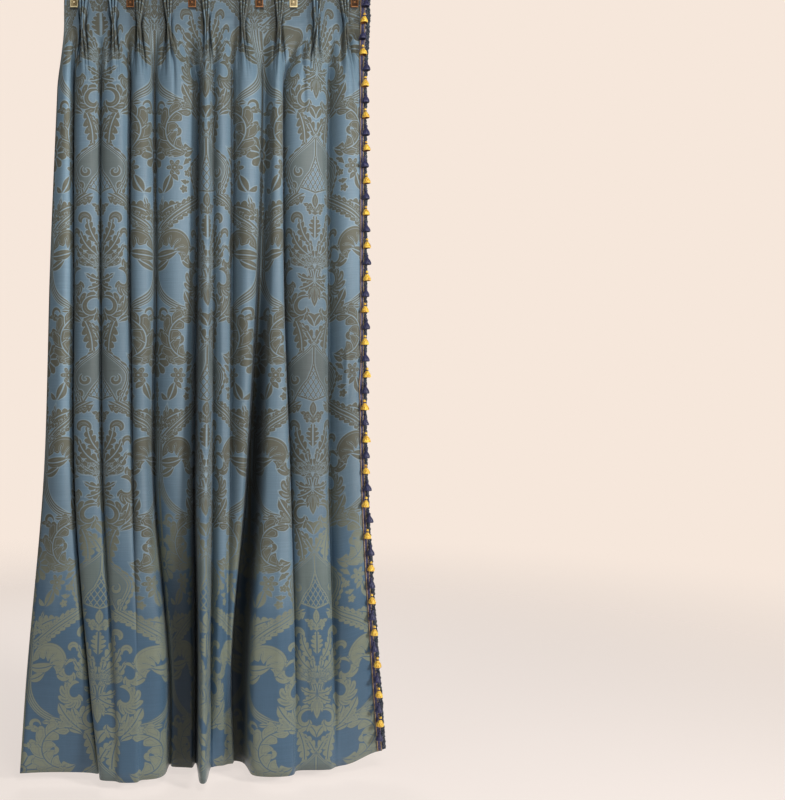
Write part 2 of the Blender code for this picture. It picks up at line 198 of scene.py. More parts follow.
# Short folds and creases on top of the main ones: across in cm at the crease's top and foot, its drops
# in m, half its width in cm, and how far it stands forward in mm (a hollow is negative)
CREASES = (
    (-10.4, -10.2, 0.10, 0.34, 0.55, -5.0),
    (26.6, 27.2, 0.10, 0.42, 0.60, -5.5),
    (40.6, 40.9, 0.12, 0.40, 0.50, -4.0),
    (-33.6, -32.8, 0.12, 0.60, 0.55, -3.0),
    (-24.4, -24.2, 0.12, 0.75, 0.50, -2.6),
    (8.2, 8.0, 0.12, 0.55, 0.45, -3.0),
    (18.2, 17.4, 0.13, 0.60, 0.50, -2.5),
    (32.4, 31.6, 0.30, 1.10, 0.90, 2.6),
    (-16.2, -13.6, 1.30, 1.95, 0.50, 4.0),
    (33.0, 34.2, 1.30, 1.80, 0.60, 3.4),
    (-40.0, -44.0, 0.50, 1.40, 0.80, 2.0),
    (12.0, 12.6, 0.50, 1.20, 0.60, -2.0),
    (2.2, 3.0, 0.60, 1.50, 0.50, -2.2),
    (-27.6, -33.0, 1.55, 2.15, 1.10, 2.4),
    (20.0, 19.4, 1.50, 2.15, 1.20, 2.6),
    (27.2, 28.6, 1.60, 2.20, 0.90, -2.2),
    (44.6, 42.2, 1.02, 1.22, 0.70, -6.0),
    (39.4, 38.6, 1.02, 1.20, 0.60, 4.0),
)

# Slack in the heading: drooping ridges as (middle in cm, half width in cm, drop at its ends in m, sag
# in mm, forward in mm)
SWAGS = (
    (-7.6, 3.8, 0.046, -9.0, 3.2),
    (-6.4, 4.2, 0.064, 7.0, -3.0),
    (3.9, 3.6, 0.060, 8.0, 3.4),
    (4.6, 3.8, 0.080, 6.0, -2.8),
    (14.6, 3.6, 0.050, 5.0, 1.8),
    (25.4, 3.8, 0.070, 7.0, 2.2),
    (-32.2, 3.0, 0.070, 5.0, 1.6),
    (-16.2, 2.8, 0.085, 5.0, 1.8),
)
SWAG_WIDTH = 0.0055

# Fringe
TASSELS = 47
TASSEL_PITCH = 0.0472
FIRST_TASSEL_ROOT = 0.002
BRAID_WIDTH = 0.0155
BRAID_GAP = 0.0010
TASSEL_STAND = 0.0155
LOOPS_PER_TASSEL = 3
FRINGE_STAND = CLOTH_THICK / 2 + BRAID_GAP  # of the braid's back from the middle of the cloth
BRAID_THICK = 0.0016
BRAID_PAST = 0.001  # the edge of the cloth
BRAID_CORD_STAND = 0.0018  # of its cords from its back

# A tassel's short cord starts inside the edge and in front of the braid's back, and its top hangs inside
# the edge and below that start
ROOT_INSIDE = 0.003
ROOT_STAND = 0.0015
TOP_INSIDE = 0.0045
TOP_BELOW = 0.004
TASSEL_CORD = 0.0009  # its radius

# Cords on the braid: (place past the edge, material slot, radius)
BRAID_CORDS = ((-BRAID_WIDTH + 0.0018, 1, 0.0014), (-0.0022, 1, 0.0014), (-0.0075, 2, 0.0011))

# Strands of the loops: (phase, least way past the edge, reach of a loop)
LOOP_STRANDS = ((0.0, 0.0028, 0.0088), (0.5, 0.0028, 0.0076), (0.25, 0.0030, 0.0024))
LOOP_STEPS = 8  # along each loop

# Clips: (place across in m, pale or dark)
CLIPS = (
    (-0.394, "pale"),
    (-0.231, "dark"),
    (-0.052, "dark"),
    (0.143, "dark"),
    (0.242, "pale"),
    (0.419, "dark"),
)
CLIP_WIDTH = 0.0225
CLIP_FOOT = 0.0305
CLIP_MIDDLE = 0.0150  # of the clip's front below the top edge
CLIP_PAINTED_SHADOW = 0.002, 0.0035, 0.0115  # painted shadow line under a clip: its middle below the foot, height, half width

# Camera
VIEW_DISTANCE = 2.6
VIEW_HEIGHT = -1.168
VIEW_ACROSS = -0.006
SCALE_AT_DRAPE = 345.0  # pixels per metre at the heading's plane
PICTURE = (785, 800)
ORIGIN_COLUMN = 210.0  # of pixels, where the origin shows
AHEAD_COLUMN = ORIGIN_COLUMN + VIEW_ACROSS * SCALE_AT_DRAPE

# Light and floor
AROUND_STRENGTH = 0.05  # of the light from all round
BACKDROP_STRENGTH = 1.0  # of the backdrop as the camera sees it
FLOOR_BELOW = 0.030  # the drape's foot
FLOOR_SIZE = 6.0
FLOOR_FADE = 1.0, 5.0  # from the drape's middle
FLOOR_GLOW = 0.752
MIDDLE_OF_DRAPE = (0, 0, -1.1)

# Lamps: (name, place, aimed at, size, power, colour)
LAMPS = (
    ("key", (2.5, -2.0, -0.7), MIDDLE_OF_DRAPE, 0.7, 80, (1.0, 0.97, 0.93)),
    ("front", (0.5, -1.9, 0.2), (0, 0, -0.6), 1.0, 22, (1.0, 0.98, 0.95)),
    ("fill", (-2.2, -2.4, -0.4), MIDDLE_OF_DRAPE, 1.6, 9, (0.97, 0.98, 1.0)),
    ("back", (-0.6, 2.4, -0.5), MIDDLE_OF_DRAPE, 1.8, 22, (1.0, 0.98, 0.95)),
)


def smooth_step(value):
    value = np.clip(value, 0.0, 1.0)
    return value * value * (3 - 2 * value)


def section_controls(row):
    """Control points of the cross-section at one row of the fold tables, in metres."""
    outer, leading = SIDE_EDGES["outer_edge"][row], SIDE_EDGES["leading_edge"][row]
    crests = [sections[row] for _, sections in CRESTS]
    controls = [outer]
    for index, crest in enumerate(crests):
        controls.append(crest)
        if index < len(VALLEYS):
            half_mouth, lean, sink_before, sink_after, sections, _ = VALLEYS[index]
            across, depth = sections[row]
            before = crest[1] + (depth - crest[1]) * sink_before
            after = crests[index + 1][1] + (depth - crests[index + 1][1]) * sink_after
            controls += [(across - half_mouth, before), (across + lean, depth), (across + half_mouth, after)]
    controls.append(leading)
    return np.array(controls) * CM


SECTIONS = np.array([section_controls(row) for row in range(len(SECTION_DROPS))])
LAST_CONTROL = SECTIONS.shape[1] - 1
CREST_CONTROLS = [1 + 4 * index for index in range(len(CRESTS))]
VALLEY_CONTROLS = [3 + 4 * index for index in range(len(VALLEYS))]
PLEATS = [(control, pleat) for control, (pleat, _) in zip(CREST_CONTROLS, CRESTS) if pleat is not None]


def down_the_tables(table, drops):
    """Smooth values at the drops from a table whose first axis is the sections."""
    drops = np.clip(np.asarray(drops, float), SECTION_DROPS[0], SECTION_DROPS[-1])
    row = np.clip(np.searchsorted(SECTION_DROPS, drops, side="right") - 1, 0, len(SECTION_DROPS) - 2)
    slopes = np.gradient(table, SECTION_DROPS, axis=0)
    shape = (-1,) + (1,) * (table.ndim - 1)
    span = (SECTION_DROPS[row + 1] - SECTION_DROPS[row]).reshape(shape)
    t = (drops - SECTION_DROPS[row]).reshape(shape) / span
    return (
        table[row] * (1 + 2 * t) * (1 - t) ** 2
        + slopes[row] * span * t * (1 - t) ** 2
        + table[row + 1] * t * t * (3 - 2 * t)
        + slopes[row + 1] * span * t * t * (t - 1)
    )


def on_sections(controls, at):
    """Points of the uniform cubic B-splines over rows of controls: (rows, places, 2)."""
    first_pad = 2 * controls[:, :1] - controls[:, 1:2]
    last_pad = 2 * controls[:, -1:] - controls[:, -2:-1]
    padded = np.concatenate([first_pad, controls, last_pad], axis=1)
    first = np.clip(at.astype(int), 0, LAST_CONTROL - 1)
    t = (at - first)[None, :, None]
    weights = ((1 - t) ** 3, 3 * t**3 - 6 * t**2 + 4, -3 * t**3 + 3 * t**2 + 3 * t + 1, t**3)
    return sum(weight * padded[:, first + k] for k, weight in enumerate(weights)) / 6


def table_at(table, drop):
    drops, values = zip(*table)
    return np.interp(drop, drops, values)


def finger_split(drop):
    """How open the dark gap between the outer fingers is below the tack, 0 to 1."""
    (opens, opening), (closes, closing) = GAP_OPENS, GAP_CLOSES
    below = drop - TACK_DROP
    return smooth_step((below - opens) / opening) * (1 - smooth_step((below - closes) / closing))


def on_heading(at, drops):
    """Points of the heading: flat spaces, and three fingers at each pleat."""
    half = FINGERS / 2
    gain, gain_from, gain_over = FINGER_FAN
    across = np.empty((len(drops), len(at)))
    depth = np.zeros_like(across)
    for row, full_drop in enumerate(drops):
        drop = min(full_drop, TACK_DROP)
        below = full_drop - TACK_DROP
        ripple = 0.5 - 0.5 * smooth_step(below / FINGER_FADE)
        pitch, stand = table_at(FINGER_PITCH, drop), table_at(FINGER_DEPTH, drop)
        pitch += gain * smooth_step((below - gain_from) / gain_over)
        split = float(finger_split(full_drop))
        pleats = [(control, CM * np.interp(drop, (0, TACK_DROP), pleat)) for control, pleat in PLEATS]
        marks = [(0.0, HEADING_ENDS[0])]
        for control, tack in pleats:
            marks.append((control - half * FINGER_SHARE, tack - half * pitch))
            marks.append((control + half * FINGER_SHARE, tack + half * pitch))
        marks.append((float(LAST_CONTROL), HEADING_ENDS[1]))
        across[row] = table_at(marks, at)
        for index, (control, tack) in enumerate(pleats):
            along = (at - control) / FINGER_SHARE
            inside = np.abs(along) <= half
            turn = 2 * math.pi * along[inside]
            uneven = 1 + FINGER_UNEVEN * math.sin(5.1 * index + 1.0) * np.cos(turn / 3 + index)
            across[row, inside] = tack + pitch * (along[inside] + FINGER_SWELL * np.sin(turn))
            hump = np.cos(math.pi * along[inside] / (2 * half)) ** 0.5 * (0.5 - ripple)
            hump *= 1 - GAP_DEPTH * split * PLEAT_SPLITS[index] * np.exp(-((along[inside] / GAP_WIDTH) ** 2))
            depth[row, inside] = -stand * uneven * (ripple * (1 + np.cos(turn)) + FINGER_HUMP * hump)
    return np.stack([across, depth], axis=-1)


def finger_grooves(at, drops):
    """How deep in a groove between fingers each place lies, and how far on a finger's crest, from 0 up:
    painted shade and painted highlight.
    """
    groove = np.zeros((len(drops), len(at)))
    crest = np.zeros_like(groove)
    long_fading = 1 - smooth_step((drops - TACK_DROP) / FINGER_PAINTED_LIGHT)
    fading = 1 - smooth_step((drops - TACK_DROP) / FINGER_FADE)
    open_gap = finger_split(drops)
    for index, (control, _) in enumerate(PLEATS):
        along = (at - control) / FINGER_SHARE
        between = (0.5 - 0.5 * np.cos(2 * math.pi * along)) ** 1.4 * (np.abs(along) <= FINGERS / 2 + 0.35)
        middle = GAP_PAINTED_SHADE * PLEAT_SPLITS[index] * np.exp(-((along / GAP_PAINTED_SHADE_WIDTH) ** 2))
        between = GROOVE_PAINTED_SHADE * fading[:, None] * between
        groove = np.maximum(groove, np.maximum(between, open_gap[:, None] * middle))
        edges = np.exp(-(((np.abs(along) - OUTER_CREST) / CREST_WIDTH) ** 2))
        top = np.maximum(edges, (1 - open_gap[:, None]) * np.exp(-((along / CREST_WIDTH) ** 2)))
        crest = np.maximum(crest, long_fading[:, None] * top)
    return groove, crest


def lattice_noise(x, y, seed):
    """Smooth noise in -1..1 from a small repeatable lattice of random numbers."""
    cells = 64
    values = np.random.default_rng(seed).uniform(-1, 1, (cells, cells))
    xi, yi = np.floor(x).astype(int), np.floor(y).astype(int)
    fx, fy = smooth_step(x - xi), smooth_step(y - yi)
    left, right, near_row, far_row = xi % cells, (xi + 1) % cells, yi % cells, (yi + 1) % cells
    near = values[near_row, left] * (1 - fx) + values[near_row, right] * fx
    far = values[far_row, left] * (1 - fx) + values[far_row, right] * fx
    return near * (1 - fy) + far * fy


def waves_on(flat, down, waves):
    """Slow unevenness at places of the flat cloth, in metres."""
    amount, across_waves, down_waves, start, seed = waves
    return amount * lattice_noise(flat * across_waves + start, down * down_waves, seed)


def flat_places(at, drops):
    """Place across the flat cloth of each column at each drop, from the valleys' known places."""
    table = np.empty((len(SECTION_DROPS), len(at)))
    fine = np.linspace(0, LAST_CONTROL, 40 * LAST_CONTROL + 1)
    for row in range(len(SECTION_DROPS)):
        points = on_sections(SECTIONS[row : row + 1], fine)[0]
        arc = np.concatenate([[0], np.cumsum(np.hypot(*np.diff(points, axis=0).T))])
        marks = [0.0, *[float(control) for control in VALLEY_CONTROLS], float(LAST_CONTROL)]
        places = [0.0, *[valley[5][row] * CM for valley in VALLEYS], FLAT_WIDTH]
        arc_marks = np.interp(marks, fine, arc)
        table[row] = np.interp(np.interp(at, fine, arc), arc_marks, places)
    return down_the_tables(table, drops)


def fold_hollows(at, drops):
    """How much further back the valleys lie than the plain solid's, below the heading."""
    deeper = down_the_tables(np.array(DEEPER).T * CM, drops)
    hollow = np.zeros((len(drops), len(at)))
    for index, control in enumerate(VALLEY_CONTROLS):
        narrow = np.exp(-(((at - control) / DEEPER_WIDTHS[index]) ** 4))
        hollow += deeper[:, index : index + 1] * narrow
    opening = smooth_step((drops - TACK_DROP) / 0.09)
    return hollow * opening[:, None]


def pleat_hollows(across, down):
    """Hollows on both sides of each pleat, nearest at its tack and spreading like rays below it."""
    hollow = np.zeros_like(across)
    half = FINGERS / 2 * table_at(FINGER_PITCH, np.minimum(down, TACK_DROP))
    below = np.clip((down - TACK_DROP) / (HOLLOW_END - TACK_DROP), 0, 1)
    width = HOLLOW_WIDTH[0] + HOLLOW_WIDTH[1] * below
    fading = smooth_step((HOLLOW_END - down) / HOLLOW_FADE)
    for index, (pleat, _) in enumerate(CRESTS):
        if pleat is None:
            continue
        middle = CM * np.interp(down, (0, TACK_DROP), pleat)
        for side in (-1, 1):
            for share, spread, first, depth in PLEAT_HOLLOWS:
                uneven = 1 + 0.3 * math.sin(3.7 * index + 2.1 * side + 40 * spread)
                place = middle + side * (share * half + spread * uneven * below)
                narrow = np.exp(-(((across - place) / width) ** 2))
                hollow += depth * uneven * fading * smooth_step((down - first) / HOLLOW_START) * narrow
    return hollow


def cloth_middle(at, drops):
    """The middle of the cloth: positions (rows, columns, 3) and flat places (rows, columns)."""
    controls = down_the_tables(SECTIONS, drops)
    folds = on_sections(controls, at)
    share = 1 - smooth_step((drops - TACK_DROP) / (OPEN_DROP - TACK_DROP))[:, None, None]
    lip = np.exp(-(((at - OVERHANG[1]) / OVERHANG[2]) ** 2))
    folds[..., 0] += down_the_tables(np.array(OVERHANG[:1]).T * CM, drops) * lip
    both = folds + (on_heading(at, drops) - folds) * share
    across, depth = both[..., 0].copy(), both[..., 1].copy()
    down = np.broadcast_to(drops[:, None], across.shape)
    flat = flat_places(at, drops)
    loose = smooth_step((down - 0.10) / 0.25)
    edges = smooth_step(flat / 0.03) * smooth_step((FLAT_WIDTH - flat) / 0.05)
    for waves in DEPTH_WAVES:
        depth += loose * waves_on(flat, down, waves)
    across += loose * edges * waves_on(flat, down, SIDEWAYS_WAVES)
    for top, foot, start, end, width, forward in CREASES:
        length = end - start
        place = CM * (top + (foot - top) * np.clip((down - start) / length, 0, 1))
        fade = smooth_step((down - start) / (0.25 * length)) * smooth_step((end - down) / (0.45 * length))
        depth -= forward * MM * fade * np.exp(-(((across - place) / (width * CM)) ** 2))
    for middle, half, drop, sag, forward in SWAGS:
        off = np.clip((across / CM - middle) / half, -1, 1)
        ridge = drop + sag * MM * (1 - off**2)
        depth -= forward * MM * (1 - off**2) ** 2 * np.exp(-(((down - ridge) / SWAG_WIDTH) ** 2))
    depth += fold_hollows(at, drops) + pleat_hollows(across, down)
    beyond = np.maximum(depth - DEPTH_LIMIT[0], 0)
    depth = np.minimum(depth, DEPTH_LIMIT[0]) + DEPTH_LIMIT[1] * np.tanh(beyond / DEPTH_LIMIT[1])
    leading = on_sections(controls, np.array([float(LAST_CONTROL)]))[:, 0, 0][:, None]
    rise = LEAD_RISE * (1 - smooth_step((leading - across) / LEAD_RISE_WIDTH))
    height = -down * (DROP - rise) / DROP
    return np.stack([across, depth, height], axis=-1), flat


def grid_normals(points):
    along = np.gradient(points, axis=1)
    down = np.gradient(points, axis=0)
    normals = np.cross(down, along)
    return normals / np.maximum(np.linalg.norm(normals, axis=-1, keepdims=True), 1e-9)


def cloth_columns():
    """Columns of the cloth in controls, closer together in the pleats and beside them."""
    reach = FINGERS / 2 * FINGER_SHARE
    fine = set(np.round(np.arange(0, LAST_CONTROL + 1e-6, COLUMN_STEP), 6))
    for control, _ in PLEATS:
        fine = {c for c in fine if abs(c - control) > reach + 0.02}
        fine |= set(np.round(np.linspace(control - reach, control + reach, PLEAT_COLUMNS), 6))
        beside = control + np.outer((-1, 1), BESIDE_PLEAT).ravel()
        fine |= {c for c in np.round(beside, 6) if 0 < c < LAST_CONTROL}
    return np.array(sorted(fine))


CLOTH_ROWS = np.concatenate(
    [np.linspace(0, FINE_ROWS_END, FINE_ROWS)[:-1], np.linspace(FINE_ROWS_END, DROP, COARSE_ROWS)]
)


def add_piece(name, mesh, materials, slot, *replaced):
    obj = bpy.data.objects.new(name, mesh)
    bpy.context.collection.objects.link(obj)
    for mat in materials:
        mesh.materials.append(mat)
    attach(obj, "root")
    if replaced:
        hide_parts(*replaced)
    return obj


def mesh_from(name, points, faces):
    mesh = bpy.data.meshes.new(name)
    mesh.from_pydata([tuple(p) for p in points], [], [tuple(f) for f in faces])
    mesh.update()
    mesh.shade_smooth()
    return mesh


def set_uv(mesh, name, per_vertex):
    layer = mesh.uv_layers.new(name=name)
    loops = np.empty(len(mesh.loops), np.int32)
    mesh.loops.foreach_get("vertex_index", loops)
    layer.uv.foreach_set("vector", np.asarray(per_vertex, np.float32)[loops].ravel())


def cloth_painted_shade(at, across, down):
    """How much shade is painted into the colour of each place of the cloth, up to 1, or light, down to -1."""
    shade = np.maximum(fold_hollows(at, CLOTH_ROWS) / PAINTED_SHADE_FOLD_DEPTH, pleat_hollows(across, down) / PAINTED_SHADE_HOLLOW_DEPTH)
    groove, lit = finger_grooves(at, CLOTH_ROWS)
    lit = lit * CREST_PAINTED_LIGHT * (groove < 0.2)
    for first, full, last, control, wide, amount in PAINTED_SHADE_FOLDS:
        rising = smooth_step((CLOTH_ROWS - first) / (full - first))
        fading = 1 - smooth_step((CLOTH_ROWS - last) / SHADE_FADE)
        here = (rising * fading)[:, None] * np.exp(-(((at - control) / wide) ** 4))
        shade = np.maximum(shade, amount * here)
        lit = np.maximum(lit, -amount * here)
    # Painted shadow in a line under each clip
    line, height, half_width = CLIP_PAINTED_SHADOW
    clip_shadow = np.exp(-(((CLOTH_ROWS - CLIP_FOOT - line) / height) ** 2))[:, None]
    for place, _ in CLIPS:
        shade = np.maximum(shade, clip_shadow * (np.abs(across - place) < half_width))
    shade = np.maximum(shade, groove)
    shade -= lit * np.clip(1 - 2 * shade, 0, 1)
    return np.clip(shade, -1, 1).astype(np.float32).ravel()


def cloth_mesh():
    """Both faces of the cloth and the narrow rim between them."""
    at = cloth_columns()
    middle, flat = cloth_middle(at, CLOTH_ROWS)
    normals = grid_normals(middle)
    rows, cols = flat.shape
    front = middle + normals * CLOTH_THICK / 2
    back = middle - normals * CLOTH_THICK / 2
    points = np.concatenate([front.reshape(-1, 3), back.reshape(-1, 3)])
    grid = np.arange(rows * cols).reshape(rows, cols)
    quads = np.stack([grid[:-1, :-1], grid[1:, :-1], grid[1:, 1:], grid[:-1, 1:]], axis=-1).reshape(-1, 4)
    rim = np.concatenate([grid[0, :], grid[1:, -1], grid[-1, -2::-1], grid[-2:0:-1, 0]])
    after = np.roll(rim, -1)
    shift = rows * cols
    edge = np.stack([rim, after, after + shift, rim + shift], axis=-1)
    faces = np.concatenate([quads, quads[:, ::-1] + shift, edge])
    mesh = mesh_from("drape", points, faces)
    down = np.broadcast_to(CLOTH_ROWS[:, None], flat.shape)
    one_side = np.stack([flat, down], axis=-1).reshape(-1, 2)
    set_uv(mesh, "cloth", np.concatenate([one_side, one_side]))
    # In the map for baking the two sides lie next to each other
    front_map = one_side / (2 * FLAT_WIDTH + 0.02)
    back_map = front_map + [0.502, 0]
    set_uv(mesh, "OFBake", np.concatenate([front_map, back_map]))
    # Painted shade and light, kept on the cloth's points for its colour
    shade = cloth_painted_shade(at, middle[..., 0], down)
    mesh.attributes.new("painted_light_and_shade", "FLOAT", "POINT").data.foreach_set("value", np.tile(shade, 2))
    is_back = np.repeat([0.0, 1.0, 0.0], [len(quads), len(quads), len(edge)]).astype(np.float32)
    mesh.attributes.new("face_side", "FLOAT", "FACE").data.foreach_set("value", is_back)
    mesh.uv_layers["cloth"].active = True
    mesh.uv_layers["cloth"].active_render = True
    return mesh


# Shader maths


class Term:
    """A number or colour in a material, with the operators of ordinary arithmetic."""

    def __init__(self, book, link):
        self.book, self.link = book, link

    def math(self, operation, *others):
        return self.book.node("ShaderNodeMath", {"operation": operation}, [self, *others])

    def __add__(self, other):
        return self.math("ADD", other)

    def __sub__(self, other):
        return self.math("SUBTRACT", other)

    def __mul__(self, other):
        return self.math("MULTIPLY", other)

    def __truediv__(self, other):
        return self.math("DIVIDE", other)

    def __rsub__(self, other):
        return self.book.calc("SUBTRACT", other, self)

    def __rtruediv__(self, other):
        return self.book.calc("DIVIDE", other, self)

    def __neg__(self):
        return self.math("MULTIPLY", -1.0)

    __radd__ = __add__
    __rmul__ = __mul__


class Book:
    """A material's node tree and the functions that add to it."""

    def __init__(self, name):
        self.material = bpy.data.materials.new(name)
        self.material.use_nodes = True
        self.tree = self.material.node_tree
        self.shader = self.tree.nodes["Principled BSDF"]

    def put(self, socket, value):
        if isinstance(value, Term):
            self.tree.links.new(value.link, socket)
        else:
            socket.default_value = value

    def node(self, kind, settings=(), values=(), output=0):
        made = self.tree.nodes.new(kind)
        for key, value in dict(settings).items():
            setattr(made, key, value)
        pairs = values.items() if isinstance(values, dict) else enumerate(values)
        for key, value in pairs:
            self.put(made.inputs[key], value)
        return Term(self, made.outputs[output])

    def calc(self, operation, *values):
        return self.node("ShaderNodeMath", {"operation": operation}, values)

    def sin(self, a):
        return self.calc("SINE", a)

    def cos(self, a):
        return self.calc("COSINE", a)

    def angle(self, y, x):
        return self.calc("ARCTAN2", y, x)

    def root(self, a):
        return self.calc("SQRT", a)

    def size(self, a):
        return self.calc("ABSOLUTE", a)

    def least(self, a, b):
        return self.calc("MINIMUM", a, b)

    def most(self, a, b):
        return self.calc("MAXIMUM", a, b)

    def wrap(self, a, high, low):
        return self.calc("WRAP", a, high, low)

    def fold(self, a, scale):
        return self.calc("PINGPONG", a, scale)

    def length(self, x, y):
        return self.root(x * x + y * y)

    def line(self, x, y, by_x, by_y, origin):
        """x and y from an origin, each by its share, added up."""
        start = -(origin[0] * by_x + origin[1] * by_y)
        return self.calc("MULTIPLY_ADD", y, by_y, self.calc("MULTIPLY_ADD", x, by_x, start))

    def step(self, value, low, high):
        """0 below low, 1 above high, smooth between."""
        return self.node(
            "ShaderNodeMapRange",
            {"interpolation_type": "SMOOTHSTEP", "clamp": True},
            {"Value": value, "From Min": low, "From Max": high, "To Min": 0.0, "To Max": 1.0},
        )

    def split(self, vector):
        made = self.tree.nodes.new("ShaderNodeSeparateXYZ")
        self.put(made.inputs[0], vector)
        return [Term(self, made.outputs[i]) for i in range(3)]

    def join(self, x, y, z):
        return self.node("ShaderNodeCombineXYZ", (), [x, y, z])

    def uv(self, name):
        return self.split(self.node("ShaderNodeUVMap", {"uv_map": name}))

    def attribute(self, name):
        settings = {"attribute_type": "GEOMETRY", "attribute_name": name}
        return self.node("ShaderNodeAttribute", settings, (), "Fac")

    def place(self):
        return self.node("ShaderNodeTexCoord", (), (), "Object")

    def noise(self, vector, scale, detail=2.0, roughness=0.5):
        values = {"Vector": vector, "Scale": scale, "Detail": detail, "Roughness": roughness}
        return self.node("ShaderNodeTexNoise", (), values, "Fac")

    def mix(self, factor, first, second):
        made = self.tree.nodes.new("ShaderNodeMix")
        made.data_type = "RGBA"
        sockets = [s for s in made.inputs if s.enabled]
        for socket, value in zip(sockets, (factor, first, second)):
            if not isinstance(value, Term) and socket.type == "RGBA":
                value = (*value, 1.0)
            self.put(socket, value)
        return Term(self, next(s for s in made.outputs if s.enabled))

    def shade(self, colour, factor):
        """A colour made lighter or darker."""
        made = self.tree.nodes.new("ShaderNodeVectorMath")
        made.operation = "SCALE"
        self.put(made.inputs["Vector"], colour)
        self.put(made.inputs["Scale"], factor)
        return Term(self, made.outputs["Vector"])

    def bump(self, height, strength, distance):
        return self.node("ShaderNodeBump", (), {"Height": height, "Strength": strength, "Distance": distance})

    def finish(self, **inputs):
        for name, value in inputs.items():
            socket = self.shader.inputs[name.replace("_", " ")]
            if socket.type == "RGBA" and not isinstance(value, Term):
                value = (*value, 1.0)
            self.put(socket, value)
        return self.material


def srgb(red, green, blue):
    """Linear colour of an 8-bit screen colour."""
    shares = [c / 255 for c in (red, green, blue)]
    return tuple(((c + 0.055) / 1.055) ** 2.4 if c > 0.04 else c / 12.92 for c in shares)


# Satin colours: high on the drape, then low where the painted sheen turns over
GROUND = srgb(103, 127, 144), srgb(70, 98, 122)
OUTLINE = srgb(131, 152, 164), srgb(74, 98, 118)
STIPPLE = srgb(94, 101, 96), srgb(106, 117, 110)
FIGURE = srgb(91, 92, 81), srgb(122, 130, 116)
PAINTED_SHEEN_TURNS = 1.40, 1.80

# Painted shade and light down the drape: the heading darker, the middle dimmer, the foot lighter. Drops where
# a change starts and ends, how much lighter it gets
PAINTED_SHADE_AT_TOP = 0.76
PAINTED_LIGHT_DOWN_THE_DRAPE = ((0.03, 0.20, 0.24), (0.5, 1.2, -0.13), (1.4, 1.65, 0.10))

# Weave: pitch of its crosswise ribs, and across and down of its satin twill
RIB_PITCH = 0.0011
TWILL_PITCH = 0.0009, 0.004

# Damask figure: the repeat mirrors on the palmette's axis and on the axis between two palmettes. Its unit
# is a tick of 2.9 mm, across from the palmette's axis and down from the row of the plain voids.
TICK = 1 / 345
HALF_REPEAT = 80.5
REPEAT_TOP = -85.3
REPEAT_FOOT = 120.0
VOID_ROW = 79.0  # below the top edge
STRAP_START = (20, -85)
STRAP_END = (74, -47)


def leaf(b, place, root, tip, width, bend=0.0, lobes=0, vein=0.0, deep=0.5):
    """How far inside a leaf from root to tip a place is. Lobes sweep to the tip, a fine cut between two."""
    across, down = place
    length = math.dist(root, tip)
    x, y = (tip[0] - root[0]) / length, (tip[1] - root[1]) / length
    along = b.line(across, down, x / length, y / length, root)
    off = b.line(across, down, -y, x, root)
    swell = along * (1 - along)
    if bend:
        off = off - swell * (4 * bend)
    beside = b.size(off)
    half = swell * (4 * width)
    if not lobes:
        return b.least(half - beside, beside - vein) if vein else half - beside
    lobe = b.size(b.sin(along * (math.pi * lobes) - beside * (1.5 / width)))
    inside = half * (lobe * deep + (1 - deep)) - beside
    cut = lobe * (length / math.pi / lobes) + b.most(half * 0.35 - beside, -0.85)
    inside = b.least(inside, cut)
    return b.least(inside, beside - vein) if vein else inside


def scroll(b, place, middle, start, sweep, radii, width, lean=0.0, outer=0, inner=0, vein=0.0):
    """How far inside a band that winds round a middle a place is. Lobes may stand on either edge of it."""
    turn = math.copysign(1.0, sweep)
    x = place[0] - middle[0]
    y = (place[1] - middle[1]) * turn
    first = math.radians(start * turn)
    angle = b.wrap(b.angle(y, x), first + math.tau, first) - first
    share = angle / math.radians(abs(sweep))
    rim = b.length(x, y) - (share * (radii[1] - radii[0]) + radii[0])
    half = share * (1 - share) * (4 * width)
    if lean:
        half = half * (share * (2 * lean) + (1 - lean))
    edges = [half - rim, half + rim]
    for side, lobes in enumerate((outer, inner)):
        if lobes:
            away = rim if side == 0 else -rim
            lobe = b.size(b.sin(share * (math.pi * lobes) + away * (1.6 / width)))
            lobed = edges[side] + half * (0.75 * lobe - 0.25)
            cut = lobe * (0.55 * width) + b.most(half * 0.1 - away, 0.0) - 0.8
            edges[side] = b.least(lobed, cut)
    inside = b.least(*edges)
    return b.least(inside, b.size(rim) - vein) if vein else inside


def oval(b, place, middle, across, down):
    """How far inside an oval a place is."""
    x = (place[0] - middle[0]) * (1 / across)
    y = (place[1] - middle[1]) * (1 / down)
    return (1 - b.length(x, y)) * min(across, down)


def flower(b, place, middle, radius, petals, deep, eye, turn=0.0):
    """How far inside a flower with pointed petals and a plain eye a place is."""
    x, y = place[0] - middle[0], place[1] - middle[1]
    far = b.length(x, y)
    petal = b.size(b.cos((b.angle(y, x) + math.radians(turn)) * (petals / 2)))
    return b.least(petal * (deep * radius) + (1 - deep) * radius - far, far - eye)


def all_of(b, shapes):
    """The shapes as one, and how far the nearest seam is where one lies over another."""
    whole, second = shapes[0], None
    for shape in shapes[1:]:
        lower = b.least(whole, shape)
        second = lower if second is None else b.most(second, lower)
        whole = b.most(whole, shape)
    return whole, whole - second


def void_band(b, place):
    """Four lines that hug the plain void and sweep under it to the knot."""
    across, down = place
    x, y = across - 40, b.most(down + 10, 0.0)
    rim = b.length(x, y * 1.02) - 41
    ends = b.least(down + 52, across - 31)
    wide = b.step(across, 30, 62) * 5.0 + 1.4
    band = b.least(b.least(rim + wide, 0.6 - rim), ends)
    lines = b.size(b.fold(rim + 0.3, 1.1)) - 0.8
    return b.least(band, lines), band


def hood(b, place):
    """Acanthus over the void: a curl with long fingers, and two smooth leaves under it."""
    return [
        scroll(b, place, (56, -27), -10, -212, (18, 11), 8.2, 0.0, inner=6),
        leaf(b, place, (79, -25), (51, -29), 4.8, -2.5, vein=0.85),
        leaf(b, place, (79, -12), (60, -21), 3.8, -2.0, vein=0.85),
    ]


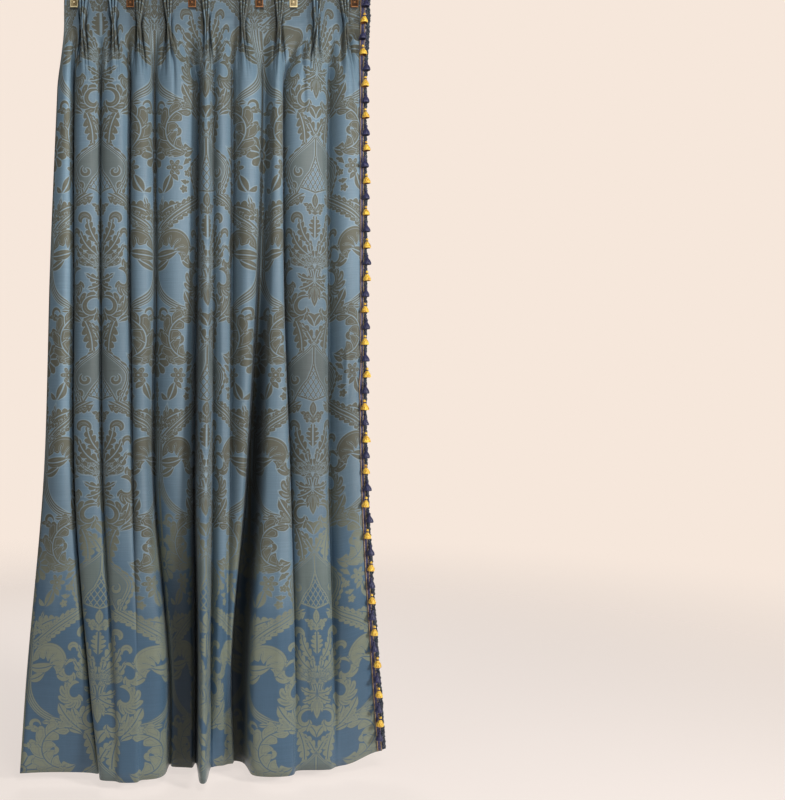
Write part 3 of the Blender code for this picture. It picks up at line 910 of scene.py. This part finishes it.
def scrolls_by_the_void(b, place):
    """Fountain of ribs, two scrolls beside the void, the leaf at the knot and the scroll on the axis."""
    x, y = place[0] - 25, place[1] + 1
    ribs = b.size(b.fold(b.length(x, y) - 19.3, 1.3)) - 0.85
    band = 4.2 - b.size(b.length(x, y) - 23)
    corner = b.most(x + 1, y)
    return [
        b.least(b.least(ribs, band), 0.2 - corner),
        scroll(b, place, (33, -21), -120, 305, (13, 3.5), 3.6, outer=6),
        scroll(b, place, (28, 2), -110, 300, (13.5, 4), 5.2, outer=7),
        leaf(b, place, (27, 35), (45, 10), 6.4, 2.0, lobes=2, vein=0.85, deep=0.3),
        leaf(b, place, (24, 32), (31, 14), 4.4, 1.0, vein=0.8),
        scroll(b, place, (12.5, 28), -140, 335, (14, 3.5), 4.8, outer=8, vein=0.8),
        leaf(b, place, (0, -1), (19, -6), 4.0, 2.5, lobes=3, vein=0.85),
        leaf(b, place, (0, 1), (17, 9), 4.4, 1.5, lobes=3, vein=0.85),
        leaf(b, place, (0, 4), (0, 26), 3.8),
        leaf(b, place, (0, 5), (6, 19), 2.6, -1.0),
        leaf(b, place, (0, 46), (9, 33), 4.4, -2.0, vein=0.85),
        leaf(b, place, (0, 66), (16, 42), 5.2, -2.0, lobes=4, vein=0.85),
    ]


def arch(b, place):
    """Acanthus that springs from the knot and closes round its plain hollow, and the leaves beside it."""
    return [
        scroll(b, place, (41, 59), -138, 262, (25, 17), 8.6, 0.1, outer=8, inner=7, vein=0.85),
        scroll(b, place, (51, 57), -60, 320, (5.5, 2.2), 2.0),
        leaf(b, place, (21, 38), (13, 74), 7.6, 3.0, lobes=5, vein=0.85),
        leaf(b, place, (38, 36), (62, 30), 4.4, -2.5, lobes=3, vein=0.8),
        leaf(b, place, (48, 82), (68, 74), 3.6, 2.0, lobes=3),
        scroll(b, place, (69, 33), 180, 300, (6, 2), 1.5),
        leaf(b, place, (62, 41), (79, 36), 3.0, -2.0, lobes=2),
        leaf(b, place, (64, 50), (80, 53), 3.2, 2.0, lobes=3),
    ]


def crossing_flowers(b, place):
    """Carnation, bud and beads by the crossing axis, and the spray above the hood."""
    across, down = place
    x, y = across - 80.5, down - 78
    far = b.length(x, y)
    petal = b.size(b.cos(b.angle(y, x) * 5.5))
    carnation = b.least(petal * 4.2 + 13.8 - far, far - 3.0)
    rays = b.most(petal * far * 0.17 - 0.9, b.most(far - 14.5, 5.0 - far))
    ring = b.size(far - 5.4) - 0.8
    bead = b.length(x, b.fold(down, 2.4) - 1.2)
    beads = b.least(1.3 - b.size(bead), b.least(down + 46, 60 - down))
    return [
        b.least(b.least(carnation, rays), ring),
        leaf(b, place, (57, 101), (65, 119), 4.6, 1.0, vein=1.0),
        leaf(b, place, (57, 101), (50, 107), 2.0, 1.0),
        leaf(b, place, (66, 118), (73, 112), 2.0, 1.0),
        leaf(b, place, (80.5, 98), (80.5, 121), 3.4, lobes=4),
        beads,
        leaf(b, place, (81, -56), (46, -76), 7.6, 3.5, lobes=6, vein=0.85),
        leaf(b, place, (81, -50), (66, -82), 4.0, -2.0, lobes=5, vein=0.8),
        leaf(b, place, (81, -60), (80.5, -85), 4.4, lobes=5),
        leaf(b, place, (77, -46), (54, -60), 3.6, -2.0, lobes=3, vein=0.8),
    ]


def small_flowers(b, place):
    """Star flower over the bud, and florets beside the cartouche."""
    return [
        flower(b, place, (53, 94), 8.0, 6, 0.62, 1.2),
        flower(b, place, (43, 76), 3.6, 5, 0.45, 0.7),
        flower(b, place, (40, 99), 3.4, 5, 0.45, 0.7, 30),
        flower(b, place, (44, 115), 3.8, 5, 0.45, 0.7),
        leaf(b, place, (44, 91), (35, 84), 2.2, 1.0, lobes=2),
        leaf(b, place, (47, 107), (38, 107), 2.2, -1.0, lobes=2),
    ]


def cartouche(b, place):
    """Shield on the axis: double outline, stippled lobes with their curls, and the net between them."""
    across, down = place
    outer = b.step(down, 58, 96) * 33 - b.step(down, 94, 124) * 10 + 1
    inner = b.step(down, 80, 108) * 8 + b.most(down - 98, 0.0) * 0.56
    within = b.least(outer - across, down - 57)
    rim = 0.45 - b.size(b.size(within - 1.7) - 1.25)
    lobe = b.least(within - 3.4, across - inner - 1.0)
    side = b.least(0.55 - b.size(across - inner), within)
    foot = 119 - across * 0.3 - down
    net_region = b.least(b.least(inner - across, down - 82), foot)
    vine = b.size(b.sin(down * 0.55)) * 1.7 - b.size(across - outer - 3.2)
    net = 0.5 - b.least(b.size(b.fold(down + across * 1.5, 4.2)), b.size(b.fold(down - across * 1.5, 4.2)))
    curls = [
        scroll(b, place, (19, 98), -60, 320, (5.2, 2.0), 1.3),
        scroll(b, place, (25, 112), 60, 300, (4.0, 1.6), 1.0),
    ]
    sprigs = b.least(vine, down - 70)
    closing = b.least(0.5 - b.size(foot), inner - across)
    return [rim, side, b.least(net, net_region), closing, sprigs, *curls], lobe


def straps(b, place):
    """Berried strap from the cartouche's foot to the hood, with small leaves on it."""
    across, down = place
    length = math.dist(STRAP_START, STRAP_END)
    x, y = [(end - start) / length for start, end in zip(STRAP_START, STRAP_END)]
    along = b.line(across, down, x, y, STRAP_START)
    off = b.line(across, down, -y, x, STRAP_START) + b.sin(along * (math.pi / length)) * 2.5
    ends = b.least(along + 6, length + 2 - along)
    rails = b.least(0.5 - b.size(b.size(off) - 3.0), ends)
    berries = b.least(0.9 - b.length(b.fold(along, 1.8) - 0.9, off), ends)
    sprigs = b.size(b.sin(along * 0.5 + b.size(off) * 0.35)) * 2.0 - b.size(b.size(off) - 5.6)
    sprigs = b.least(sprigs, b.least(along - 4, length - 14 - along))
    return [rails, berries, sprigs], b.least(2.6 - b.size(off), ends)


def palmette(b, place):
    """Plume on the axis: crown, a lobed drop, curled leaves in three rows and fine veins."""
    across, down = place
    scribble = b.size(b.sin(down * 1.9 + b.sin(across * 1.1) * 1.6)) - 0.55
    field = oval(b, place, (13, -19), 13, 6)
    return [
        leaf(b, place, (0, -40), (0, -64), 7.0, lobes=5, vein=1.1),
        b.least(scribble, field),
        leaf(b, place, (1, -12), (30, -36), 5.6, 5.0, lobes=5, vein=0.85),
        leaf(b, place, (1, -22), (25, -49), 5.6, 5.0, lobes=5, vein=0.85),
        leaf(b, place, (2, -32), (17, -63), 5.4, 4.0, lobes=5, vein=0.85),
        leaf(b, place, (0, -14), (6, -40), 3.4, 1.0, lobes=4, vein=0.8),
        leaf(b, place, (0, -8), (14, -28), 3.4, 2.0, lobes=3, vein=0.8),
        scroll(b, place, (21, -59), 150, 260, (6.5, 3.0), 2.8),
        scroll(b, place, (31, -45), 150, 250, (5.5, 2.6), 2.4),
        flower(b, place, (5, -69), 4.4, 5, 0.4, 0.8),
        leaf(b, place, (0, -64), (13, -75), 3.6, -2.0, lobes=3),
        leaf(b, place, (12, -82), (27, -76), 3.6, 1.5, lobes=3),
        leaf(b, place, (0, -85), (0, -71), 3.2),
    ]


def damask_figure(b, across, down):
    """How far inside the solid and the stippled parts a place of the repeat is, and how far from a seam."""
    place = across, down
    lines, band = void_band(b, place)
    shield, lobes = cartouche(b, place)
    strap, berries = straps(b, place)
    shapes = [lines, *hood(b, place), *scrolls_by_the_void(b, place), *arch(b, place)]
    shapes += [*crossing_flowers(b, place), *small_flowers(b, place), *shield, *strap, *palmette(b, place)]
    solid, seam = all_of(b, shapes)
    stippled, _ = all_of(b, [band, lobes, berries])
    return solid + 0.35, stippled, seam


def satin_colours(b, drop, back):
    """Colours of ground, outline, stippled and solid figure. Low on the drape a painted sheen turns it pale.
    """
    low = b.step(drop, *PAINTED_SHEEN_TURNS)
    ground, line, dots, woven = [b.mix(low, *tones) for tones in (GROUND, OUTLINE, STIPPLE, FIGURE)]
    return b.mix(back, ground, woven), line, dots, b.mix(back, woven, ground)


def damask_material():
    """Satin damask: woven figure, weft streaks, painted shade and light on the folds and down the drape, a
    painted sheen low down, and the relief of the weave.
    """
    b = Book("damask")
    flat, drop, _ = b.uv("cloth")
    ticks_down = b.wrap(drop * (1 / TICK) - VOID_ROW, REPEAT_FOOT, REPEAT_TOP)
    ticks_across = b.fold(flat * (1 / TICK) + HALF_REPEAT, HALF_REPEAT)
    solid, stippled, seam = damask_figure(b, ticks_across, ticks_down)
    figure = b.step(solid, -0.35, 0.35)
    beside = b.step(solid, -1.5, -0.3)
    within = b.most(b.step(0.45 - b.size(solid - 2.4), 0.0, 0.4) * 0.5, b.step(0.5 - seam, 0.0, 0.4) * 0.8)
    stipple = b.step(stippled, -0.35, 0.35)
    back = b.attribute("face_side")
    patchy = b.noise(b.join(flat * 9, drop * 1.6, 5.0), 1.0, 2.0)
    # Low on the drape a painted sheen turns the figure pale, at patchy drops
    ground, line, dots, woven = satin_colours(b, drop + (patchy - 0.5) * 0.7, back)
    colour = b.mix(beside * 0.75, b.mix(stipple * 0.8, ground, dots), line)
    colour = b.mix(figure, colour, b.mix(within, woven, line))
    streaks = b.noise(b.join(flat * 9, drop * 420, 0.0), 1.0, 2.0)
    warp = b.noise(b.join(flat * 700, drop * 14, 3.0), 1.0, 1.0)
    cast = b.noise(b.join(flat * 3, drop * 2, 7.0), 1.0, 2.0)
    # Painted shade and light down the drape: darker at the heading, dimmer in the middle, lighter at the foot
    tone = sum((b.step(drop, start, end) * lighter for start, end, lighter in PAINTED_LIGHT_DOWN_THE_DRAPE), PAINTED_SHADE_AT_TOP)
    shade = (streaks - 0.5) * 0.30 + (warp - 0.5) * 0.16 + (cast - 0.5) * 0.30 + tone
    # Painted shade in the valleys, the hollows by the pleats, the finger grooves and under the clips, and
    # painted light on finger crests and some fold faces
    painted_light_and_shade = b.attribute("painted_light_and_shade")
    painted_darkening, lit = b.step(painted_light_and_shade, 0.0, 0.8), b.step(-painted_light_and_shade, 0.0, 1.0)
    colour = b.shade(colour, shade * (1 - painted_darkening * 0.82) * (1 + lit * 0.42))
    rib = b.sin(drop * (math.tau / RIB_PITCH))
    satin = b.sin(flat * (math.tau / TWILL_PITCH[0]) + drop * (math.tau / TWILL_PITCH[1]))
    height = rib * 0.4 + satin * 0.35 + streaks
    normal = b.bump(height, 0.35, 0.0004)
    roughness = 0.36 + figure * 0.14 + (streaks - 0.5) * 0.12
    return b.finish(
        Base_Color=colour,
        Roughness=roughness,
        Normal=normal,
        Anisotropic=0.6,
        Sheen_Weight=0.2,
        Sheen_Roughness=0.4,
        Sheen_Tint=srgb(190, 205, 215),
        Specular_IOR_Level=0.36,
    )


def strand_material(name, dark, light, sheen):
    """Hanging strands: fine streaks along the height."""
    b = Book(name)
    x, y, z = b.split(b.place())
    strands = b.noise(b.join(x * 650, y * 650, z * 60), 1.0, 2.0)
    colour = b.mix(b.step(strands, 0.32, 0.62), dark, light)
    normal = b.bump(strands, 0.5, 0.0008)
    return b.finish(Base_Color=colour, Roughness=0.5, Normal=normal, Sheen_Weight=sheen, Sheen_Roughness=0.4)


def tape_material():
    """Ribbed tape with light flecks."""
    b = Book("tape")
    x, y, z = b.split(b.place())
    rib = b.sin(z * (math.tau / 0.0016))
    flecks = b.step(b.noise(b.join(x * 900, y * 900, z * 500), 1.0, 1.0), 0.58, 0.72)
    colour = b.mix(rib * 0.5 + 0.5, srgb(54, 52, 92), srgb(74, 72, 116))
    colour = b.mix(flecks * 0.6, colour, srgb(140, 136, 168))
    return b.finish(Base_Color=colour, Roughness=0.6, Normal=b.bump(rib, 0.4, 0.0004), Sheen_Weight=0.2)


def cord_material(name, dark, light):
    """Twisted cord: slanting strands."""
    b = Book(name)
    x, y, z = b.split(b.place())
    twist = b.sin((z + x + y) * (math.tau / 0.0024))
    colour = b.mix(twist * 0.5 + 0.5, dark, light)
    return b.finish(Base_Color=colour, Roughness=0.5, Normal=b.bump(twist, 0.6, 0.0005))


def chenille_material():
    """Fuzzy yarn, navy with teal."""
    b = Book("chenille")
    fuzz = b.noise(b.place(), 900.0, 3.0, 0.7)
    patch = b.noise(b.place(), 60.0, 1.0)
    colour = b.mix(b.step(fuzz, 0.35, 0.65), srgb(12, 16, 30), srgb(42, 54, 76))
    colour = b.mix(b.step(patch, 0.45, 0.7) * 0.5, colour, srgb(38, 62, 72))
    normal = b.bump(fuzz, 0.9, 0.002)
    return b.finish(Base_Color=colour, Roughness=0.95, Normal=normal, Sheen_Weight=0.4, Sheen_Roughness=0.5)


# Relief of a clip's front, in mm from its middle
ROSETTE_RADIUS = 2.0
PETALS = 8
PETAL_LENGTH = 2.4
RING_RADIUS = 6.0
BORDER = 8.6, 11.4
BEADS_FROM = 6.6, 7.4
BEAD_TURN = 3.1  # radians in a mm


def clip_material(name, dark, light):
    """Cast brass: a raised border, a rosette in a ring and beads, lighter on the raised relief and darker in
    its hollows.
    """
    b = Book(name)
    across, up, _ = b.uv("plate")
    x, z = across * (1 / MM), (up + CLIP_MIDDLE) * (1 / MM)
    far = b.length(x, z)
    petals = b.cos(b.angle(z, x) * PETALS) * 0.5 + 0.5
    rosette = b.step(petals * PETAL_LENGTH + ROSETTE_RADIUS - far, -0.5, 0.5)
    ring = b.step(0.5 - b.size(far - RING_RADIUS), 0.0, 0.4)
    border = b.step(b.most(b.size(x) - BORDER[0], b.size(z) - BORDER[1]), 0.0, 0.4)
    beads = b.step(b.sin(x * BEAD_TURN) * b.sin(z * BEAD_TURN), 0.1, 0.5) * b.step(far, *BEADS_FROM)
    height = b.most(b.most(rosette, ring), b.most(border, beads * 0.7))
    mottle = b.noise(b.place(), 400.0, 3.0)
    colour = b.mix(b.step(height + (mottle - 0.5) * 0.8, 0.2, 0.8), dark, light)
    rough = 0.55 - height * 0.2
    return b.finish(Base_Color=colour, Roughness=rough, Metallic=0.3, Normal=b.bump(height, 1.0, 0.0008))


def add_cloth(material):
    return add_piece("drape", cloth_mesh(), [material], "damask", "drape_cloth")


# Fringe


def leading_strip(drops):
    """Points of the leading edge, and the directions past it and to its front."""
    inside = 0.42  # controls from the edge, far enough to give its direction
    at = np.array([LAST_CONTROL - inside, float(LAST_CONTROL)])
    middle, _ = cloth_middle(at, drops)
    edge = middle[:, 1]
    out = edge - middle[:, 0]
    out /= np.linalg.norm(out, axis=1, keepdims=True)
    down = np.gradient(edge, axis=0)
    down /= np.linalg.norm(down, axis=1, keepdims=True)
    front = np.cross(down, out)
    front /= np.linalg.norm(front, axis=1, keepdims=True)
    return edge, out, front


def tube(centres, radii, sides):
    """Points and faces of a tube along centres, closed at both ends."""
    centres = np.asarray(centres, float)
    radii = np.broadcast_to(radii, len(centres))
    tangents = np.gradient(centres, axis=0)
    tangents /= np.maximum(np.linalg.norm(tangents, axis=1, keepdims=True), 1e-9)
    reference = np.array([0.0, 1.0, 0.0])
    points = []
    for centre, tangent, radius in zip(centres, tangents, radii):
        side = np.cross(tangent, reference)
        side /= max(np.linalg.norm(side), 1e-9)
        other = np.cross(side, tangent)
        for k in range(sides):
            turn = 2 * math.pi * k / sides
            points.append(centre + radius * (math.cos(turn) * side + math.sin(turn) * other))
        reference = other
    faces = []
    for ring in range(len(centres) - 1):
        for k in range(sides):
            a, b = ring * sides + k, ring * sides + (k + 1) % sides
            faces.append((a, b, b + sides, a + sides))
    faces.append(tuple(range(sides))[::-1])
    faces.append(tuple(range((len(centres) - 1) * sides, len(centres) * sides)))
    return points, faces


class Gather:
    """Collects shapes into one mesh."""

    def __init__(self):
        self.points, self.faces, self.slots = [], [], []

    def add(self, points, faces, slot=0):
        start = len(self.points)
        self.points += [tuple(p) for p in points]
        self.faces += [tuple(start + i for i in face) for face in faces]
        self.slots += [slot] * len(faces)

    def mesh(self, name):
        mesh = mesh_from(name, self.points, self.faces)
        mesh.polygons.foreach_set("material_index", self.slots)
        return mesh


def add_braid(materials):
    """Flat tape with a cord along each side and one along its middle."""
    drops = np.linspace(0, DROP - 0.004, 380)
    edge, out, front = leading_strip(drops)
    gather = Gather()
    profile = ((-BRAID_WIDTH, 0.0), (-BRAID_WIDTH, BRAID_THICK), (BRAID_PAST, BRAID_THICK), (BRAID_PAST, 0.0))
    ring = [edge + out * x + front * (FRINGE_STAND + y) for x, y in profile]
    points = np.stack(ring, axis=1).reshape(-1, 3)
    faces = []
    for row in range(len(drops) - 1):
        for k in range(4):
            a, b = row * 4 + k, row * 4 + (k + 1) % 4
            faces.append((a, a + 4, b + 4, b))
    last = (len(drops) - 1) * 4
    faces += [(0, 1, 2, 3), (last + 3, last + 2, last + 1, last)]
    gather.add(points, faces, 0)
    for place, slot, radius in BRAID_CORDS:
        line = edge + out * place + front * (FRINGE_STAND + BRAID_CORD_STAND)
        gather.add(*tube(line, radius, 6), slot)
    return add_piece("braid", gather.mesh("braid"), materials, "fringe_yarn", "tassel_fringe")


def add_loops(material):
    """Scalloped chenille past the braid: two strands that cross, and a straight one under them."""
    gather = Gather()
    count = int((DROP - 0.02) / (TASSEL_PITCH / LOOPS_PER_TASSEL))
    steps = np.arange(count * LOOP_STEPS + 1)
    edge, out, front = leading_strip(np.linspace(0, DROP - 0.006, len(steps)))
    vary = 1 + 0.25 * lattice_noise(steps / LOOP_STEPS, np.zeros(len(steps)), 8)
    for phase, first, reach in LOOP_STRANDS:
        wave = math.pi * (steps / LOOP_STEPS + phase)
        away = first + reach * (np.abs(np.sin(wave)) ** 0.7 * vary)
        stand = FRINGE_STAND + 0.0005 + 0.0018 * np.cos(wave)
        line = edge + out * away[:, None] + front * stand[:, None]
        fuzz = 0.0031 * (1 + 0.25 * lattice_noise(steps * 0.9, np.full(len(steps), 4 * phase), 9))
        gather.add(*tube(line, fuzz, 7), 0)
    return add_piece("chenille_loops", gather.mesh("chenille_loops"), [material], "fringe_yarn")


# Tassel, in mm: (height, radius) down its head, its neck, and its skirt to the foot and back up inside it
TASSEL_HEAD = ((0.0, 0.8), (-0.8, 2.6), (-2.4, 3.8), (-4.2, 4.1), (-6.0, 3.4), (-7.2, 2.4))
TASSEL_NECK = ((-6.6, 2.4), (-7.0, 3.3), (-8.4, 3.5), (-9.6, 3.3), (-10.0, 2.4))
TASSEL_SKIRT = (
    (-9.0, 2.6),
    (-11.0, 4.2),
    (-14.0, 6.2),
    (-17.5, 8.4),
    (-21.5, 10.1),
    (-25.0, 10.8),
    (-27.5, 10.6),
    (-28.5, 9.6),
    (-26.2, 5.0),
    (-25.5, 1.0),
)
SKIRT_SIDES = 36
SKIRT_INSIDE_ROWS = 3
CORD, YARN, INSIDE = 0, 1, 2  # material slots of a tassel; the third is a darker yarn, painted shade in the skirt's hollow


def tassel_parts(seed):
    """(points, faces, slot) of the parts of a tassel hung from the origin: head, neck, skirt, and the hollow
    inside the skirt in darker yarn as painted shade.
    """
    rng = np.random.default_rng(seed)

    def turned(profile, sides, flute=0.0, flutes=12, ragged=0.0):
        points, faces = [], []
        for row, (height, radius) in enumerate(profile):
            for k in range(sides):
                turn = 2 * math.pi * k / sides
                r = radius * (1 + flute * math.cos(flutes * turn + 0.6 * row))
                z = height + (ragged * rng.uniform(-1, 1) if row >= len(profile) - 2 else 0)
                points.append((r * math.cos(turn), r * math.sin(turn), z))
        for row in range(len(profile) - 1):
            for k in range(sides):
                a, b = row * sides + k, row * sides + (k + 1) % sides
                faces.append((a, b, b + sides, a + sides)[::-1])
        faces.append(tuple(range(sides)))
        faces.append(tuple(range((len(profile) - 1) * sides, len(profile) * sides))[::-1])
        return points, faces

    head_shape = [(z * MM, radius * MM) for z, radius in TASSEL_HEAD]
    neck_shape = [(z * MM, radius * MM) for z, radius in TASSEL_NECK]
    skirt_shape = [(z * MM, radius * MM) for z, radius in TASSEL_SKIRT]
    head = (*turned(head_shape, 14, 0.05, 7), YARN)
    neck = (*turned(neck_shape, 12), CORD)
    points, faces = turned(skirt_shape, SKIRT_SIDES, 0.06, 12, 0.7 * MM)
    inner = SKIRT_SIDES * (len(TASSEL_SKIRT) - SKIRT_INSIDE_ROWS)
    skirt = (points, [face for face in faces if min(face) < inner], YARN)
    hollow = (points, [face for face in faces if min(face) >= inner], INSIDE)
    return [head, neck, skirt, hollow]


def add_tassels(materials):
    """Every other tassel gold, the others navy, each on a short navy cord from the braid."""
    pieces = {"gold": Gather(), "navy": Gather()}
    roots = FIRST_TASSEL_ROOT + TASSEL_PITCH * np.arange(TASSELS)
    drops = np.unique(np.concatenate([roots, np.clip(roots - 0.004, 0, None), roots + 0.004]))
    edge, out, front = leading_strip(drops)
    rng = np.random.default_rng(17)
    for index, drop in enumerate(roots):
        row = int(np.argmin(np.abs(drops - drop)))
        start = edge[row] - out[row] * ROOT_INSIDE + front[row] * (FRINGE_STAND + ROOT_STAND)
        sway = rng.uniform(-0.005, 0.006)
        stand = TASSEL_STAND + rng.uniform(-0.001, 0.001)
        top = edge[row] + out[row] * (sway - TOP_INSIDE) + front[row] * stand
        top[2] = edge[row][2] - TOP_BELOW
        gather = pieces["navy" if index % 2 == 0 else "gold"]
        lean_x, lean_y = rng.uniform(-0.10, 0.10), rng.uniform(-0.06, 0.06)
        size = rng.uniform(0.94, 1.06)
        spin = rng.uniform(0, 2 * math.pi)
        for points, faces, slot in tassel_parts(100 + index):
            moved = []
            for x, y, z in points:
                x, y = x * math.cos(spin) - y * math.sin(spin), x * math.sin(spin) + y * math.cos(spin)
                moved.append(top + size * np.array([x + lean_x * z, y + lean_y * z, z]))
            gather.add(moved, faces, slot)
        middle = (start + top) / 2 + front[row] * 0.001 + np.array([0, 0, 0.0012])
        end = top + np.array([0, 0, -0.0008])
        gather.add(*tube([start, middle, end], TASSEL_CORD, 6), CORD)
    made = []
    for name, gather in pieces.items():
        # The third yarn is a darker copy: painted shade in the skirt's hollow
        yarns = [materials["cord"], materials[name], materials[f"{name}_inside"]]
        made.append(add_piece(f"{name}_tassels", gather.mesh(f"{name}_tassels"), yarns, "fringe_yarn"))
    return made


# Clips


def clip_mesh(name, place):
    """A strip folded over the top edge, its feet bent away from the cloth. The relief is in its material."""
    width, foot = CLIP_WIDTH, -CLIP_FOOT
    thick, inner = 0.0011, CLOTH_THICK / 2 + 0.0004
    lip = [(-(inner + 0.0020), foot), (-(inner + 0.0006), foot + 0.0022)]
    front = [*lip, (-inner, foot + 0.0045), (-inner, -0.001)]
    bend = [(-inner * 0.8, 0.0004), (0.0, 0.0007), (inner * 0.8, 0.0004)]
    back = [(-y, z) for y, z in front[::-1]]
    path = np.array(front + bend + back)
    tangent = np.gradient(path, axis=0)
    tangent /= np.linalg.norm(tangent, axis=1, keepdims=True)
    outward = np.stack([-tangent[:, 1], tangent[:, 0]], axis=-1)
    outer = path + outward * thick
    gather = Gather()
    steps = np.linspace(-width / 2, width / 2, 9)
    points, faces = [], []
    n = len(path)
    for x in steps:
        inset = 0.0006 if abs(x) > width / 2 - 1e-6 else 0.0
        points += [(place + x * (1 - inset / width), y, z) for y, z in outer]
        points += [(place + x, y, z) for y, z in path]
    ring = 2 * n
    for s in range(len(steps) - 1):
        a, b = s * ring, (s + 1) * ring
        for i in range(n - 1):
            faces.append((a + i, a + i + 1, b + i + 1, b + i))
            faces.append((a + n + i, b + n + i, b + n + i + 1, a + n + i + 1))
        faces.append((a, b, b + n, a + n))
        faces.append((a + n - 1, a + ring - 1, b + ring - 1, b + n - 1))
    for s, flip in ((0, False), (len(steps) - 1, True)):
        a = s * ring
        for i in range(n - 1):
            face = (a + i, a + n + i, a + n + i + 1, a + i + 1)
            faces.append(face[::-1] if flip else face)
    gather.add(points, faces, 0)
    mesh = gather.mesh(name)
    set_uv(mesh, "plate", [(x - place, z) for x, _, z in gather.points])
    return mesh


def add_clips(materials):
    for index, (place, shade) in enumerate(CLIPS, start=1):
        mesh = clip_mesh(f"brass_clip_{index}", place)
        shape = bmesh.new()
        shape.from_mesh(mesh)
        bmesh.ops.recalc_face_normals(shape, faces=shape.faces)
        shape.to_mesh(mesh)
        shape.free()
        add_piece(f"brass_clip_{index}", mesh, [materials[shade]], "clip_brass", f"clip_{index}")


# Light, floor and camera


def floor_material():
    """Pale floor with a soft glow of its own, which fades out all round."""
    b = Book("floor")
    x, y, _ = b.split(b.place())
    fade = 1 - b.step(b.length(x, y), *FLOOR_FADE)
    pale = srgb(238, 228, 222)
    return b.finish(
        Base_Color=tuple(0.4 * c for c in pale),
        Roughness=0.9,
        Alpha=fade,
        Emission_Color=pale,
        Emission_Strength=FLOOR_GLOW,
    )


def add_floor():
    mesh = bpy.data.meshes.new("floor")
    shape = bmesh.new()
    bmesh.ops.create_grid(shape, x_segments=2, y_segments=2, size=FLOOR_SIZE)
    shape.to_mesh(mesh)
    shape.free()
    mesh.materials.append(floor_material())
    floor = bpy.data.objects.new("floor", mesh)
    floor.location = (0.0, 0.0, -DROP - FLOOR_BELOW)
    bpy.context.collection.objects.link(floor)


def add_light(name, place, target, size, power, colour):
    data = bpy.data.lights.new(name, "AREA")
    data.shape = "DISK"
    data.size, data.energy, data.color = size, power, colour
    lamp = bpy.data.objects.new(name, data)
    lamp.location = place
    lamp.rotation_euler = (Vector(target) - Vector(place)).to_track_quat("-Z", "Y").to_euler()
    bpy.context.collection.objects.link(lamp)


def add_world():
    """Dim soft light all round, and a pale backdrop behind the drape."""
    world = bpy.data.worlds.new("studio")
    bpy.context.scene.world = world
    world.use_nodes = True
    tree = world.node_tree
    background = tree.nodes["Background"]
    background.inputs["Color"].default_value = (*srgb(246, 231, 219), 1)
    seen = tree.nodes.new("ShaderNodeLightPath").outputs["Is Camera Ray"]
    strength = tree.nodes.new("ShaderNodeMapRange")
    strength.inputs["To Min"].default_value = AROUND_STRENGTH
    strength.inputs["To Max"].default_value = BACKDROP_STRENGTH
    tree.links.new(seen, strength.inputs["Value"])
    tree.links.new(strength.outputs["Result"], background.inputs["Strength"])
    bpy.context.scene.view_settings.view_transform = "Standard"


def add_camera():
    data = bpy.data.cameras.new("camera")
    data.sensor_width = 36.0
    data.sensor_fit = "AUTO"
    data.lens = VIEW_DISTANCE * SCALE_AT_DRAPE / max(PICTURE) * data.sensor_width
    data.shift_x = (PICTURE[0] / 2 - AHEAD_COLUMN) / max(PICTURE)
    camera = bpy.data.objects.new("camera", data)
    camera.location = (VIEW_ACROSS, -VIEW_DISTANCE, VIEW_HEIGHT)
    camera.rotation_euler = (math.pi / 2, 0, 0)
    bpy.context.collection.objects.link(camera)
    bpy.context.scene.camera = camera


def build():
    add_camera()
    drape = add_cloth(damask_material())
    yarns = {
        "gold": strand_material("gold_yarn", srgb(170, 104, 16), srgb(255, 216, 84), 0.3),
        # The darker copies of the gold and navy yarns are painted shade for the hollow inside a skirt
        "gold_inside": strand_material("gold_yarn_inside", srgb(40, 20, 6), srgb(120, 70, 14), 0.0),
        "navy": strand_material("navy_yarn", srgb(12, 14, 34), srgb(50, 52, 96), 0.3),
        "navy_inside": strand_material("navy_yarn_inside", srgb(6, 7, 18), srgb(22, 24, 48), 0.0),
        "cord": cord_material("cord_yarn", srgb(22, 26, 56), srgb(58, 62, 108)),
    }
    edging = cord_material("edging", srgb(112, 88, 56), srgb(190, 166, 116))
    braid = add_braid([tape_material(), edging, yarns["navy"]])
    loops = add_loops(chenille_material())
    tassels = add_tassels(yarns)
    add_clips(
        {
            "pale": clip_material("pale_brass", srgb(122, 98, 56), srgb(255, 238, 190)),
            "dark": clip_material("aged_brass", srgb(26, 16, 12), srgb(158, 106, 62)),
        }
    )
    add_floor()
    for lamp in LAMPS:
        add_light(*lamp)
    add_world()


build()
